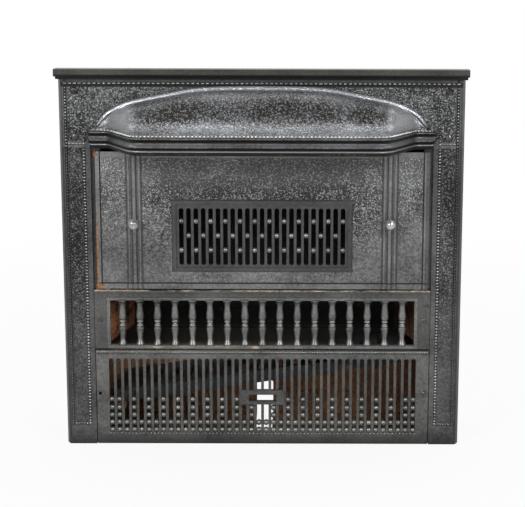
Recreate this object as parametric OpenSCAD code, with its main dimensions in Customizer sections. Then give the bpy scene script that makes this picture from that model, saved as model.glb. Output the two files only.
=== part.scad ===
// Cast iron coal fireplace front with its fire chamber.
// A beaded frame with a projecting hood, a lift-off cover with a pierced grille,
// a baluster gallery, a pierced ash front, and the grate, cheeks, back and damper inside.
// X runs left to right, Y from the front to the back, Z up. The origin is the middle of the
// floor area. Inside the modules Y = 0 is the front face of the pilasters. Millimetres.

/* [Overall size] */
// Width of the frame across the pilasters
body_w = 749; // [690:1:820]
// Height from the floor to the top of the cap moulding
total_h = 715; // [680:1:760]
// Depth of the fire chamber behind the front face
chamber_depth = 198; // [180:1:240]
// Thickness of the front castings
front_t = 8; // [7:0.5:9]

/* [Cap moulding] */
// Overhang of the cap past the pilasters, each side
cap_over = 5.5; // [4:0.5:9]
// Height of the cap's front edge
cap_edge_h = 14; // [11:0.5:16]
// Depth of the cap behind its front edge
cap_depth = 34; // [30:1:42]

/* [Frame] */
// Width of each pilaster
pilaster_w = 57.5; // [54:0.5:66]
// Height of the frieze with the cap, above the pilasters
frieze_h = 145; // [141:0.5:152]
// Width of the rebate that the front plates lie in
rebate_w = 17; // [15:0.5:20]
// Depth of the frame's side returns
return_d = 42; // [34:1:60]
// Radius of the beaded lines
bead_r = 2.2; // [1.8:0.1:2.6]
// Distance of the outer beaded line from the frame's edge
outer_bead_in = 13.5; // [11:0.5:16]
// Height of the short beaded line at a pilaster's foot
foot_bead_z = 40.6; // [34:0.5:50]
// Depth of the sunk pebbled fields
field_d = 1.2; // [0.8:0.1:1.8]

/* [Hood] */
// Distance from the top of the cap down to the hood's crown
crown_drop = 33.4; // [31.5:0.1:40]
// Height of the lip's top edge above the pilasters
foot_rise = 31.5; // [30:0.5:36]
// Reach of the lip in front of the pilasters
hood_reach = 126; // [100:1:140]
// Length of the lip's curved run at each side
lip_run = 103; // [90:1:125]
// Height of the lip moulding
lip_h = 32; // [29:0.5:34]
// Wall of the hood
hood_wall = 6; // [5:0.5:7]

/* [Cover] */
// Gap between the cover and the pilaster, each side
cover_gap = 6; // [4:0.5:8]
// Distance from the gallery up to the cover's lower edge
cover_foot_gap = 3.3; // [2.3:0.1:6]
// Distance from the frieze down to the cover's upper edge
cover_top_gap = 7; // [4:0.5:12]
// Distance of the reeded strips from the cover's edge
strip_in = 73; // [60:1:90]
// Height of the knobs
knob_z = 430; // [400:1:460]
// Diameter of a knob
knob_d = 20; // [16:0.5:24]
// Width of the cover's grille frame
grille_w = 334; // [320:1:350]
// Height of the cover's grille frame
grille_h = 133; // [125:1:140]
// Distance from the grille frame's edge to its first slot
grille_margin = 16.2; // [13:0.1:20]
// Width of one grille slot
slot_w = 8.8; // [8:0.1:9.6]

/* [Gallery] */
// Height of the gallery's lower edge
gallery_z0 = 188.7; // [188:0.1:190]
// Height of the gallery's upper edge
gallery_z1 = 301.2; // [296:0.1:302]
// Number of balusters
baluster_n = 17; // [15:2:19]
// Distance from the gallery's end to its first baluster
baluster_margin = 52; // [44:0.5:60]
// Diameter of a baluster at its swell
baluster_d = 14.4; // [12:0.2:16]

/* [Ash front] */
// Height of the ash front's upper edge
ash_z1 = 184.8; // [180:0.1:186]
// Distance from the ash front's end to its first slot
ash_margin = 28.5; // [24:0.5:36]
// Height of the lower end of the slots
ash_slot_z0 = 23.6; // [20:0.2:28]
// Height of the upper end of the slots
ash_slot_z1 = 168.6; // [158:0.2:171]
// Half width of the shaker window
window_x = 26.4; // [22:0.2:30]

/* [Fire chamber] */
// Thickness of the chamber's side and base plates
plate_t = 6; // [5:0.5:7]
// Distance that each cheek leans in from front to back
cheek_splay = 38; // [25:1:50]
// Angle by which the grate's left end has dropped
grate_drop = 8.5; // [6:0.5:10]
// Width of the cut-out for a gas pipe
pipe_w = 33; // [26:1:44]
// Height of the cut-out in the lower back
pipe_h = 72; // [60:1:90]

/* [Hidden] */
$fn = 40;
gap = 0.3;
half = body_w / 2;
open_x = half - pilaster_w;
seam_z = total_h - frieze_h;
crown_z = total_h - crown_drop;
foot_z = seam_z + foot_rise;
rebate_x = open_x - rebate_w;
rebate_y = front_t;
inner_y = front_t + 6;
bx_out = half - outer_bead_in;
bx_in = open_x + 11.8;
bolt_x = open_x + 4.5;
tang_x = (bx_in + bx_out) / 2 - 0.4;
frieze_z1 = total_h - cap_edge_h - 5.2;
top_bead_z = frieze_z1 - 8.8;
field_z1 = top_bead_z - 4;
field_z0 = seam_z + 12;

// chamber
side_x = rebate_x;
back_y = chamber_depth - front_t;
flange_y1 = back_y - gap;
cheek_x = side_x - cheek_splay;
base_t = plate_t;
lower_z1 = gallery_z0 + 0.8;
throat_z = foot_z - 4.5;
back_top = throat_z - 147;
damper_y = 98;
damper_z = throat_z + gap + plate_t + 8.2;

// the chamber's rearmost faces are the heads of its bolts
head_h = 4.4;
rear = chamber_depth + 0.1 + head_h;
y_shift = -(rear - hood_reach) / 2;

// grate, measured from its rod
rod_x = side_x - 16;
rod_z = gallery_z0 - 15.7;
grate_l = 2 * rod_x;
grate_y0 = inner_y + 4;
grate_y1 = back_y - 10;

// cover and its grille
cover_x = open_x - cover_gap;
cover_t = front_t - 0.6;
cover_z0 = gallery_z1 + cover_foot_gap;
cover_z1 = seam_z - cover_top_gap;
strip_x = cover_x - strip_in;
grille_z0 = cover_z0 + 34.1;
grille_span = grille_w - 2 * grille_margin;
grille_mid = grille_z0 + grille_h / 2;
grille_n = 23;
grille_pitch = grille_span / (grille_n - 1);
gslot_z0 = grille_z0 + 10.9;
gslot_z1 = grille_z0 + grille_h - 14;

// ash front
ash_x = open_x - 1.5;
ash_t = front_t - 1;
ash_span = 2 * (ash_x - ash_margin);
ash_n = 42;
ash_pitch = ash_span / (ash_n - 1);
ash_rows = [4, 18.8, 33.4, 48, 64.1];
window_z0 = 85.5;
window_z1 = 98.4;
ash_screw = [open_x - 8, 99.7];

bolt_r = 3;
hole_r = 3.3;
bead_hole_r = slot_w / 2 + 0.5;

// ---------------------------------------------------------------- helpers
module slab(x0, x1, y0, y1, z0, z1) translate([x0, y0, z0]) cube([x1 - x0, y1 - y0, z1 - z0]);
module xz(y0, y1) translate([0, y1, 0]) rotate([90, 0, 0]) linear_extrude(y1 - y0) children();
module xy(z0, z1) translate([0, 0, z0]) linear_extrude(z1 - z0) children();
module yz(x0, x1) translate([x0, 0, 0]) rotate([90, 0, 90]) linear_extrude(x1 - x0) children();
module bar_y(x, z, y0, y1, r) translate([x, y0, z]) rotate([-90, 0, 0]) cylinder(r = r, h = y1 - y0);
module bar_x(y, z, x0, x1, r) translate([x0, y, z]) rotate([0, 90, 0]) cylinder(r = r, h = x1 - x0);
module bar_z(x, y, z0, z1, r) translate([x, y, z0]) cylinder(r = r, h = z1 - z0);
module both() { children(); mirror([1, 0, 0]) children(); }
module place() translate([0, y_shift, 0]) children();
module iron(v) color([v, v, v * 1.03]) children();
module ring2d(x0, x1, z0, z1, w) difference() {
  translate([x0, z0]) square([x1 - x0, z1 - z0]);
  translate([x0 + w, z0 + w]) square([x1 - x0 - 2 * w, z1 - z0 - 2 * w]);
}
// upright slot with a round head, and a round foot when foot is 1; the rounds are a
// hair wider than the slot, as the pattern maker's round tool leaves them
module slot2d(x, z0, z1, w, foot) {
  r = w / 2 + 0.06;
  translate([x - w / 2, z0 + foot * w / 2]) square([w, z1 - z0 - w / 2 - foot * w / 2]);
  translate([x, z1 - r]) circle(r = r);
  if (foot == 1) translate([x, z0 + r]) circle(r = r);
}
// hexagon head with its shank towards -Y, head face at y
module rear_bolt(x, z, y, len) {
  bar_y(x, z, y - len, y + 0.5, bolt_r);
  translate([x, y, z]) rotate([-90, 0, 0]) cylinder(r = 6.2, h = head_h, $fn = 6);
}

// ---------------------------------------------------------------- the hood's curves
// height of the crease along its half width, as a share of the rise
crease_tab = [[0, 1], [0.18, 0.9975], [0.324, 0.98], [0.41, 0.954], [0.437, 0.936],
  [0.518, 0.872], [0.6, 0.808], [0.686, 0.744], [0.735, 0.706], [0.78, 0.662], [0.822, 0.611],
  [0.861, 0.547], [0.893, 0.483], [0.919, 0.413], [0.942, 0.331], [0.961, 0.235],
  [0.981, 0.127], [1, 0.04]];
end_x = open_x - 8;
lip_out = 9;
lip_y_end = 7;
lip_y_mid = hood_reach - lip_out;
function crease_z(x) = foot_z + (crown_z - foot_z) * lookup(abs(x) / end_x, crease_tab);
function smooth(t) = t * t * (3 - 2 * t);
function lip_t(x) = min(1, max(0, (end_x - 3 - abs(x)) / (lip_run - 3)));
function lip_y(x) = -(lip_y_end + (lip_y_mid - lip_y_end) * smooth(pow(lip_t(x), 0.82)));
xc_n = [1, 0.981, 0.961, 0.942, 0.919, 0.893, 0.861, 0.822, 0.78, 0.735, 0.686, 0.6, 0.518,
  0.437, 0.324, 0.18, 0];
xl_n = [1, 0.955, 0.917, 0.886, 0.858, 0.831, 0.805, 0.778, 0.749, 0.71, 0.66, 0.59, 0.51,
  0.43, 0.32, 0.178, 0];
ns = len(xc_n);
function mir(a) = concat([for (v = a) v], [for (i = [len(a) - 2 : -1 : 0]) -a[i]]);
xc = mir([for (v = xc_n) v * end_x]);
xl = mir([for (v = xl_n) v * end_x]);
nst = len(xc);
lipc = [for (x = xl) [x, lip_y(x)]];
function unit(v) = v / norm(v);
// inward direction of the lip in plan; square to the wall at both ends
inw = [for (i = [0 : nst - 1]) (i == 0 || i == nst - 1) ? [0, 1] :
  let (t = unit(lipc[i + 1] - lipc[i - 1])) [t[1], -t[0]]];
// outward direction of the crease in its own plane; upright at both ends
crn = [for (i = [0 : nst - 1]) (i == 0 || i == nst - 1) ? [0, 1] :
  let (t = unit([xc[i + 1] - xc[i - 1], crease_z(xc[i + 1]) - crease_z(xc[i - 1])])) [-t[1] * -1, t[0] * -1]];
prof_t = [0.11, 0.21, 0.305, 0.385, 0.435, 0.455, 0.475, 0.51, 0.57, 0.66, 0.78, 0.9];
prof_z = [0.99, 0.965, 0.915, 0.83, 0.72, 0.6, 0.45, 0.32, 0.215, 0.125, 0.055, 0.015];
in_pick = [10, 8, 7, 6, 5, 4, 3, 2, 0];
// lip moulding, from its top edge down: distance out, and height below the top edge
lip_p = [[0, 0], [3.4, -1.4], [6.6, -0.4], [8.2, 2], [7, 4.6], [4, 5.6], [3.2, 8.6],
  [4.6, 11.8], [7.6, 14.6], [9, 16.4], [8.2, 18.6], [4.6, 20.4], [5, 21.8], [8, 22.8], [8.2, 25],
  [5.2, 27.4], [4.4, 32], [-1, 32], [-1, 9]];
function lip_pt(k) = [lip_p[k][0], lip_p[k][1] * lip_h / 32];
np = len(prof_t);
nl = len(lip_p);
function body_pt(i, t, w) = [xc[i] + t * (xl[i] - xc[i]), t * lipc[i][1],
  foot_z + (crease_z(xc[i]) - foot_z) * w];
function section(i) = concat(
  [[xc[i] + 2.4 * crn[i][0], 9, crease_z(xc[i]) + 2.4 * crn[i][1]],
   [xc[i] + 2.4 * crn[i][0], -2, crease_z(xc[i]) + 2.4 * crn[i][1]],
   [xc[i] + 0.8 * crn[i][0], -3.4, crease_z(xc[i]) + 0.8 * crn[i][1]]],
  [for (k = [0 : np - 1]) body_pt(i, prof_t[k], prof_z[k])],
  [for (k = [0 : nl - 1]) [lipc[i][0] - inw[i][0] * lip_pt(k)[0],
    lipc[i][1] - inw[i][1] * lip_pt(k)[0], foot_z - lip_pt(k)[1]]],
  [for (k = in_pick) let (p = body_pt(i, prof_t[k], prof_z[k]))
    [p[0] + inw[i][0] * hood_wall, p[1] + inw[i][1] * hood_wall, p[2] - hood_wall * 0.8]],
  [[xc[i] - hood_wall * crn[i][0], 9, crease_z(xc[i]) - hood_wall * crn[i][1]]]);
m = 3 + np + nl + len(in_pick) + 1;
// the end sections run on sideways, and are sawn square at end_l past the last station
end_l = 11;
hood_pts = concat([for (p = section(0)) p + [end_l + 8, 0, 0]],
  [for (i = [0 : nst - 1]) for (p = section(i)) p],
  [for (p = section(nst - 1)) p - [end_l + 8, 0, 0]]);
hood_faces = concat(
  [[for (k = [m - 1 : -1 : 0]) k]],
  [[for (k = [0 : m - 1]) (nst + 1) * m + k]],
  [for (i = [0 : nst]) for (k = [0 : m - 1]) let (a = i * m + k, b = i * m + (k + 1) % m)
    each [[a, b, b + m], [a, b + m, a + m]]]);
hood_bolt_x = [60, end_x - 134, end_x - 41];
function boss_pt(x) = let (d = 1.5, t = unit([d, crease_z(x + d) - crease_z(x - d)]))
  [x + t[1] * 10, crease_z(x) - t[0] * 10];
arch_xs = [for (v = xc_n) v * end_x];
function arch_in(x, d) = let (e = 1.5, t = unit([2 * e, crease_z(x + e) - crease_z(x - e)]))
  [min(x + t[1] * d, rebate_x), crease_z(x) - t[0] * d];
arch_half = [for (x = arch_xs) if (x < end_x - 22) arch_in(x, 17)];
function flip(a) = [for (i = [len(a) - 2 : -1 : 0]) [-a[i][0], a[i][1]]];
out_half = [for (x = arch_xs) [x * 1.012 + 3, crease_z(x) + 6]];

// ---------------------------------------------------------------- front frame
pil_sec = [[open_x, 0], [half - 8, 0], [half - 5.5, 1.2], [half - 3.8, 4], [half - 2.2, 8],
  [half, 12], [half, return_d], [half - 6, return_d], [half - 6, inner_y],
  [half - 14, front_t], [bx_in + 3.2, front_t], [bx_in - 0.8, inner_y], [rebate_x, inner_y],
  [rebate_x, rebate_y], [open_x, rebate_y]];
flange_bolts_low = [40, 150];
flange_bolts_high = [gallery_z0 + 43.3, seam_z - 170, seam_z - 30];
frieze_bolt_z = [field_z0 + 7.7, field_z1 - 8.2];
gallery_screw_r = [[open_x - 12.3, gallery_z0 + 55.3], [open_x - 8.6, gallery_z1 - 27]];
gallery_screw_l = [[open_x - 12.3, gallery_z0 + 55.3]];
lug_z = [120, seam_z - 30];
lug_x = half - 24.5;
cap_bolt_x = [80, open_x - 77];

module pilaster(gs) {
  difference() {
    union() {
      xy(0, seam_z - gap) polygon(pil_sec);
      bar_z(bx_in, 0.4, foot_bead_z, seam_z - gap, bead_r);
      bar_z(bx_out, 0.4, foot_bead_z, seam_z - gap, bead_r);
      bar_x(0.4, foot_bead_z, bx_in - 3, bx_out + 3, bead_r);
      yz(tang_x - 12, tang_x + 12) polygon([[front_t - 0.5, seam_z - 40], [inner_y, seam_z - 34],
        [inner_y, seam_z + 122], [front_t + gap, seam_z + 122], [front_t + gap, seam_z - gap],
        [front_t - 0.5, seam_z - gap]]);
      for (z = lug_z) slab(lug_x - 13, half - 5, return_d - 6, return_d, z - 14, z + 14);
    }
    slab(bx_in + 4, bx_out - 4, -5, field_d, foot_bead_z + 5, seam_z + 5);
    for (z = lug_z) bar_y(lug_x, z, return_d - 20, return_d + 5, 4.5);
    for (z = frieze_bolt_z) bar_y(tang_x, z, front_t - 2, inner_y + 5, hole_r);
    for (z = concat(flange_bolts_low, flange_bolts_high)) bar_y(bolt_x, z, 4.5, inner_y + 5, hole_r);
    for (p = gs) bar_y(p[0], p[1], rebate_y - 3, inner_y + 3, 2.7);
    bar_y(ash_screw[0], ash_screw[1], rebate_y - 3, inner_y + 3, hole_r + 0.1);
  }
}
module right_pilaster() iron(0.3) place() pilaster(gallery_screw_r);
module left_pilaster() iron(0.3) place() mirror([1, 0, 0]) pilaster(gallery_screw_l);

module frieze_panel() iron(0.33) place() difference() {
  union() {
    xz(0, front_t) difference() {
      translate([-half + 8, seam_z + gap]) square([body_w - 16, frieze_z1 - seam_z - gap]);
      polygon(concat([[rebate_x, seam_z - 5], [rebate_x, foot_z + 4]], arch_half, flip(arch_half),
        [[-rebate_x, foot_z + 4], [-rebate_x, seam_z - 5]]));
    }
    both() xy(seam_z + gap, frieze_z1) polygon([[half - 14, 0], [half - 8, 0], [half - 5.5, 1.2],
      [half - 3.8, 4], [half - 2.2, 8], [half, 12], [half, return_d], [half - 6, return_d],
      [half - 6, inner_y], [half - 14, front_t]]);
    both() {
      bar_z(bx_out, 0.4, seam_z + gap, top_bead_z, bead_r);
      bar_z(bx_in, 0.4, seam_z + gap, foot_z, bead_r);
      bar_x(0.4, seam_z + 7.7, bx_in, bx_out, bead_r);
      bar_x(0.4, foot_z - 2, open_x + 5, bx_in, bead_r);
    }
    bar_x(0.4, top_bead_z, -bx_out - 2, bx_out + 2, bead_r);
  }
  xz(-5, field_d) difference() {
    translate([-bx_out + 4, foot_z + 4]) square([2 * bx_out - 8, field_z1 - foot_z - 4]);
    polygon(concat(out_half, flip(out_half), [[-end_x - 12, foot_z - 20], [end_x + 12, foot_z - 20]]));
  }
  both() slab(bx_in + 4, bx_out - 4, -5, field_d, field_z0, foot_z + 5);
  both() for (z = frieze_bolt_z) bar_y(tang_x, z, -5, front_t + 5, hole_r);
  both() for (x = hood_bolt_x) let (p = boss_pt(x)) bar_y(p[0], p[1], -5, front_t + 5, hole_r);
  both() for (x = cap_bolt_x) bar_y(x, frieze_z1 - 7, 3, front_t + 5, hole_r);
  both() bar_y(bolt_x, throat_z + 28, 3, front_t + 5, hole_r);
}

module frieze_bolts() iron(0.4) place() both() for (z = frieze_bolt_z) {
  bar_y(tang_x, z, -1.5, inner_y + 6, bolt_r);
  translate([tang_x, field_d - 0.1, z]) rotate([90, 0, 0]) rotate_extrude()
    polygon([[0, 0], [7, 0], [6.6, 1.6], [5, 3], [2.6, 3.8], [0, 4]]);
  translate([tang_x, inner_y + 0.1, z]) rotate([-90, 0, 0]) cylinder(r = 6.2, h = 5, $fn = 6);
}

module cap_moulding() iron(0.34) place() difference() {
  z1 = total_h;
  z0 = z1 - cap_edge_h;
  yb = cap_depth - 12;
  union() {
    yz(-half - cap_over, half + cap_over) polygon([[-12, z1], [-12, z0 + 4.6], [-11.3, z0 + 2.6],
      [-9.4, z0 + 0.9], [-6.5, z0], [yb, z0], [yb, z1]]);
    yz(-half - 3, half + 3) polygon([[-6.5, z0 + 0.5], [-5.2, z0 - 1.6], [-3.2, z0 - 2.6],
      [-2.6, frieze_z1 + gap], [front_t + 6, frieze_z1 + gap], [front_t + 6, z0 + 0.5]]);
    slab(-open_x + 12, open_x - 12, front_t + gap, inner_y + gap, frieze_z1 - 14, z0);
  }
  both() for (x = cap_bolt_x) bar_y(x, frieze_z1 - 7, front_t - 2, inner_y + 5, hole_r);
}
module cap_bolts() iron(0.4) place() both() for (x = cap_bolt_x)
  rear_bolt(x, frieze_z1 - 7, inner_y + gap + 0.1, 10.2);

// ---------------------------------------------------------------- hood
module hood() iron(0.36) place() difference() {
  union() {
    difference() {
      polyhedron(points = hood_pts, faces = hood_faces, convexity = 6);
      slab(-half, half, -gap, 30, seam_z - 60, total_h + 40);
      both() slab(end_x + end_l, half, -hood_reach, 30, seam_z - 60, total_h + 40);
    }
    both() for (x = hood_bolt_x) let (p = boss_pt(x)) bar_y(p[0], p[1], -15, -gap, 6.5);
  }
  both() for (x = hood_bolt_x) let (p = boss_pt(x)) bar_y(p[0], p[1], -12.5, 5, hole_r);
}
module hood_bolts() iron(0.4) place() both() for (x = hood_bolt_x) let (p = boss_pt(x))
  rear_bolt(p[0], p[1], front_t + 0.1, 19);

// ---------------------------------------------------------------- cover
cover_beads = [for (i = [0 : grille_n - 1]) for (f = (i % 2 == 0) ? [0.26, 0.768] : [0.516])
  [-grille_span / 2 + i * grille_pitch, gslot_z0 + (gslot_z1 - gslot_z0) * f]];
module cover_plate() iron(0.33) place() difference() {
    union() {
      slab(-cover_x, cover_x, 0, cover_t, cover_z0, cover_z1);
      xz(-1.6, 1) ring2d(-cover_x, cover_x, cover_z0, cover_z1, 10.5);
      xz(-2.6, 1) ring2d(-grille_w / 2, grille_w / 2, grille_z0, grille_z0 + grille_h, 6.5);
      both() {
        bar_z(strip_x, 0.6, cover_z0 + 8, cover_z1 - 8, 4);
        bar_z(strip_x - 10, 0.4, cover_z0 + 8, cover_z1 - 8, 2.6);
        bar_z(strip_x + 10, 0.4, cover_z0 + 8, cover_z1 - 8, 2.6);
        bar_y(strip_x, knob_z, -4.2, 2, 8.5);
        slab(cover_x - 26, cover_x - 6, 1, cover_t - 1, gallery_z1 + gap, cover_z0 + 1);
        slab(strip_x - 3, strip_x + 3, cover_t - 1, cover_t + 6, cover_z0 + 14, cover_z1 - 14);
      }
      for (z = [cover_z0 + 16, cover_z1 - 22])
        slab(-strip_x, strip_x, cover_t - 1, cover_t + 6, z, z + 6);
    }
    xz(-6, cover_t + 5) difference() {
      for (i = [0 : grille_n - 1])
        slot2d(-grille_span / 2 + i * grille_pitch, gslot_z0, gslot_z1, slot_w, 1);
      for (p = cover_beads) translate(p) circle(r = bead_hole_r);
    }
    both() bar_y(strip_x, knob_z, -10, cover_t + 10, hole_r);
}
module knob() translate([strip_x, -4.3, knob_z]) rotate([90, 0, 0]) {
  r = knob_d / 2;
  rotate_extrude() polygon(concat([[0, -cover_t - 13], [bolt_r, -cover_t - 13], [bolt_r, 0],
    [7.4, 0], [7.4, 1.4], [5, 2.8], [4, 4.4], [4, 6.5]],
    [for (a = [-62 : 12.16 : 90]) [r * cos(a), 6.2 + r * 0.9 + r * sin(a)]], [[0, 6.2 + r * 1.9]]));
}
module knob_right() iron(0.75) place() knob();
module knob_left() iron(0.75) place() mirror([1, 0, 0]) knob();
module knob_nuts() iron(0.4) place() both() difference() {
  translate([strip_x, cover_t + 6.1, knob_z]) rotate([-90, 0, 0]) cylinder(r = 7, h = 2.4, $fn = 6);
  bar_y(strip_x, knob_z, cover_t, cover_t + 12, bolt_r + 0.1);
}

// ---------------------------------------------------------------- gallery
gx = open_x - 1;
baluster_span = 2 * (gx - baluster_margin);
gal_x = gx - baluster_margin + 22.8;
gal_z0 = gallery_z0 + 6.8;
gal_z1 = gallery_z1 - 19.3;
function bprof(h, d) = [[0, 0], [0.56 * d, 0], [0.56 * d, 0.028 * h], [0.44 * d, 0.07 * h],
  [0.37 * d, 0.1 * h], [0.315 * d, 0.14 * h], [0.34 * d, 0.2 * h], [0.42 * d, 0.29 * h],
  [0.49 * d, 0.36 * h], [0.47 * d, 0.395 * h], [0.33 * d, 0.415 * h], [0.42 * d, 0.432 * h],
  [0.43 * d, 0.452 * h], [0.33 * d, 0.472 * h], [0.3 * d, 0.49 * h], [0.42 * d, 0.508 * h],
  [0.43 * d, 0.53 * h], [0.33 * d, 0.552 * h], [0.46 * d, 0.58 * h], [0.5 * d, 0.63 * h],
  [0.48 * d, 0.69 * h], [0.41 * d, 0.78 * h], [0.355 * d, 0.86 * h], [0.4 * d, 0.91 * h],
  [0.52 * d, 0.95 * h], [0.62 * d, 0.975 * h], [0.64 * d, h], [0, h]];
module baluster_gallery() iron(0.42) place() difference() {
  union() {
    xz(-1.5, front_t - 1) difference() {
      translate([-gx, gallery_z0]) square([2 * gx, gallery_z1 - gallery_z0]);
      translate([-gal_x, gal_z0]) square([2 * gal_x, gal_z1 - gal_z0]);
    }
    slab(-gx, gx, -5, 2, gallery_z1 - 4, gallery_z1);
    xz(-3, 1) difference() {
      translate([-gal_x - 6.4, gal_z0 - 4.4]) square([2 * gal_x + 12.8, gal_z1 - gal_z0 + 9.6]);
      translate([-gal_x - 2.6, gal_z0 - 1.2]) square([2 * gal_x + 5.2, gal_z1 - gal_z0 + 3.4]);
    }
    for (i = [0 : baluster_n - 1])
      translate([-baluster_span / 2 + i * baluster_span / (baluster_n - 1), 2.7, gal_z0 - 0.6])
        rotate_extrude($fn = 32) polygon(bprof(gal_z1 - gal_z0 + 1.2, baluster_d));
  }
  for (p = gallery_screw_r) bar_y(p[0], p[1], -8, front_t + 4, 2.7);
  for (p = gallery_screw_l) bar_y(-p[0], p[1], -8, front_t + 4, 2.7);
}
module pan_screw(x, z, yf, len, r, hr) {
  bar_y(x, z, yf - 0.6, yf + len, r);
  translate([x, yf, z]) rotate([90, 0, 0]) rotate_extrude()
    polygon([[0, 0], [hr, 0], [hr * 0.92, hr * 0.3], [hr * 0.6, hr * 0.52], [0, hr * 0.6]]);
}
module gallery_screws() iron(0.4) place() {
  for (p = gallery_screw_r) pan_screw(p[0], p[1], -1.6, front_t + 6.4, 2.4, 4.4);
  for (p = gallery_screw_l) pan_screw(-p[0], p[1], -1.6, front_t + 6.4, 2.4, 4.4);
}

// ---------------------------------------------------------------- ash front
function long_slot(k) = (k == 1 || k % 2 == 0);
ash_beads = [for (i = [0 : ash_n - 1]) let (k = min(i + 1, ash_n - i))
  for (r = long_slot(k) ? [0 : 4] : [0, 1]) if (!(k > ash_n / 2 - 3 && r == 4))
    [-ash_span / 2 + i * ash_pitch, ash_slot_z0 + ash_rows[r]]];
module ash_front() iron(0.33) place() difference() {
  union() {
    difference() {
      slab(-ash_x, ash_x, 0, ash_t, 0.6, ash_z1);
      xz(-5, ash_t + 5) difference() {
        for (i = [0 : ash_n - 1])
          slot2d(-ash_span / 2 + i * ash_pitch, ash_slot_z0, ash_slot_z1, slot_w, 0);
        for (p = ash_beads) translate(p) circle(r = bead_hole_r);
      }
    }
    bar_x(0.5, ash_z1 - 3.6, -ash_x + 1, ash_x - 1, 2.1);
    slab(-window_x - 15, window_x + 15, -3, ash_t, window_z0 - 6.3, window_z1 + 8.7);
  }
  slab(-window_x, window_x, -8, ash_t + 5, window_z0, window_z1);
  both() bar_y(ash_screw[0], ash_screw[1], -5, ash_t + 5, hole_r);
}
module ash_front_screw() iron(0.4) place()
  pan_screw(ash_screw[0], ash_screw[1], -0.1, front_t + 5, bolt_r, 5.6);

// ---------------------------------------------------------------- ash pit
module base_plate() iron(0.28) place() difference() {
  union() {
    slab(-side_x + gap, side_x - gap, front_t + 0.4, inner_y + 1, 0, base_t);
    slab(-side_x - 26, side_x + 26, inner_y + gap, chamber_depth, 0, base_t);
  }
  slab(-pipe_w / 2, pipe_w / 2, inner_y + 48, chamber_depth + 5, -2, base_t + 2);
}
side_z0 = base_t + gap;
rear_bolt_low_x = side_x + plate_t + 12;
module ash_side_sec() polygon([[side_x, inner_y + gap], [side_x + 30, inner_y + gap],
  [side_x + 30, inner_y + 6.3], [side_x + plate_t, inner_y + 6.3],
  [side_x + plate_t, flange_y1 - 6], [side_x + 25, flange_y1 - 6], [side_x + 25, flange_y1],
  [side_x, flange_y1]]);
module ash_side_holes() {
  for (z = flange_bolts_low) {
    bar_y(bolt_x, z, inner_y - 2, inner_y + 10, hole_r);
    bar_y(rear_bolt_low_x, z, flange_y1 - 12, flange_y1 + 2, hole_r);
  }
}
module ash_side_right() iron(0.27) place() difference() {
  union() {
    xy(side_z0, lower_z1 - gap) ash_side_sec();
    for (y = [grate_y0 + 3, grate_y1 - 11]) {
      slab(rod_x, side_x + 1, y, y + 8, rod_z - 10, rod_z + 10);
      bar_y(rod_x, rod_z, y, y + 8, 10);
    }
  }
  ash_side_holes();
  bar_y(rod_x, rod_z, grate_y0, grate_y1, 5.1);
}
// the dropped corner of the grate, and the ledge that it rests on
foot_pt = let (a = -grate_drop, x = -grate_l + 2, z = -12)
  [rod_x + x * cos(a) + z * sin(a), rod_z - x * sin(a) + z * cos(a)];
ledge_z = foot_pt[1] - 0.6 - 18 * tan(grate_drop);
module ash_side_left() iron(0.27) place() difference() {
  union() {
    mirror([1, 0, 0]) xy(side_z0, lower_z1 - gap) ash_side_sec();
    for (y = [grate_y0 + 2, grate_y1 - 14])
      xz(y, y + 12) polygon([[-side_x - 1, ledge_z - 30], [foot_pt[0] + 12, ledge_z - 8],
        [foot_pt[0] + 12, foot_pt[1] - 0.6 + 12 * tan(grate_drop)],
        [-side_x - 1, foot_pt[1] - 0.6 + (-side_x - 1 - foot_pt[0]) * tan(grate_drop)]]);
  }
  mirror([1, 0, 0]) ash_side_holes();
  for (y = [70, 140]) bar_x(y, rod_z - 14.2, -side_x - 20, -side_x + 20, 6);
}
module lower_back() iron(0.27) place() difference() {
  union() {
    slab(-side_x - 25, side_x + 25, back_y, chamber_depth, side_z0, lower_z1 - gap);
    slab(-side_x + 12, side_x - 12, back_y - 5, back_y + 1, lower_z1 - 14, lower_z1 - 6);
  }
  xz(back_y - 10, chamber_depth + 5) {
    translate([-pipe_w / 2, -5]) square([pipe_w, pipe_h + 1]);
    translate([-pipe_w / 2 + 4, pipe_h - 6]) square([pipe_w - 8, 6]);
    both() translate([pipe_w / 2 - 4, pipe_h - 4]) circle(r = 4);
  }
  both() for (z = flange_bolts_low) bar_y(rear_bolt_low_x, z, back_y - 5, chamber_depth + 5, hole_r);
}

// ---------------------------------------------------------------- fire chamber
cheek_z1 = throat_z - 1;
rear_bolt_high_x = cheek_x + 20;
rear_bolt_high_z = [lower_z1 + 30, back_top - 28];
module cheek() difference() {
  union() {
    xy(lower_z1, cheek_z1) polygon([[side_x, inner_y + gap], [side_x + 30, inner_y + gap],
      [side_x + 30, inner_y + 6.3], [side_x + 8.2, inner_y + 6.3], [cheek_x + 8.2, flange_y1 - 6],
      [cheek_x + 30, flange_y1 - 6], [cheek_x + 30, flange_y1], [cheek_x, flange_y1],
      [side_x, inner_y + 6.3]]);
    // foot that closes the wedge over the ash pit's side plate
    xy(lower_z1, lower_z1 + plate_t) polygon([[side_x + 4, inner_y + 5],
      [side_x + plate_t + 2, inner_y + 5], [side_x + plate_t + 2, flange_y1],
      [cheek_x + 4, flange_y1]]);
  }
  yz(0, half) polygon([[throat_back(0) - gap, throat_z + 3], [throat_back(0) - gap, throat_z],
    [back_y - 0.6, back_top + 10], [back_y - 2 - 6, back_top], [260, back_top], [260, throat_z + 3]]);
  for (z = flange_bolts_high) bar_y(bolt_x, z, inner_y - 2, inner_y + 10, hole_r);
  for (z = rear_bolt_high_z) bar_y(rear_bolt_high_x, z, flange_y1 - 12, flange_y1 + 2, hole_r);
}
function throat_back(d) = 104 + d;
module fire_cheek_right() iron(0.25) place() cheek();
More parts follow.
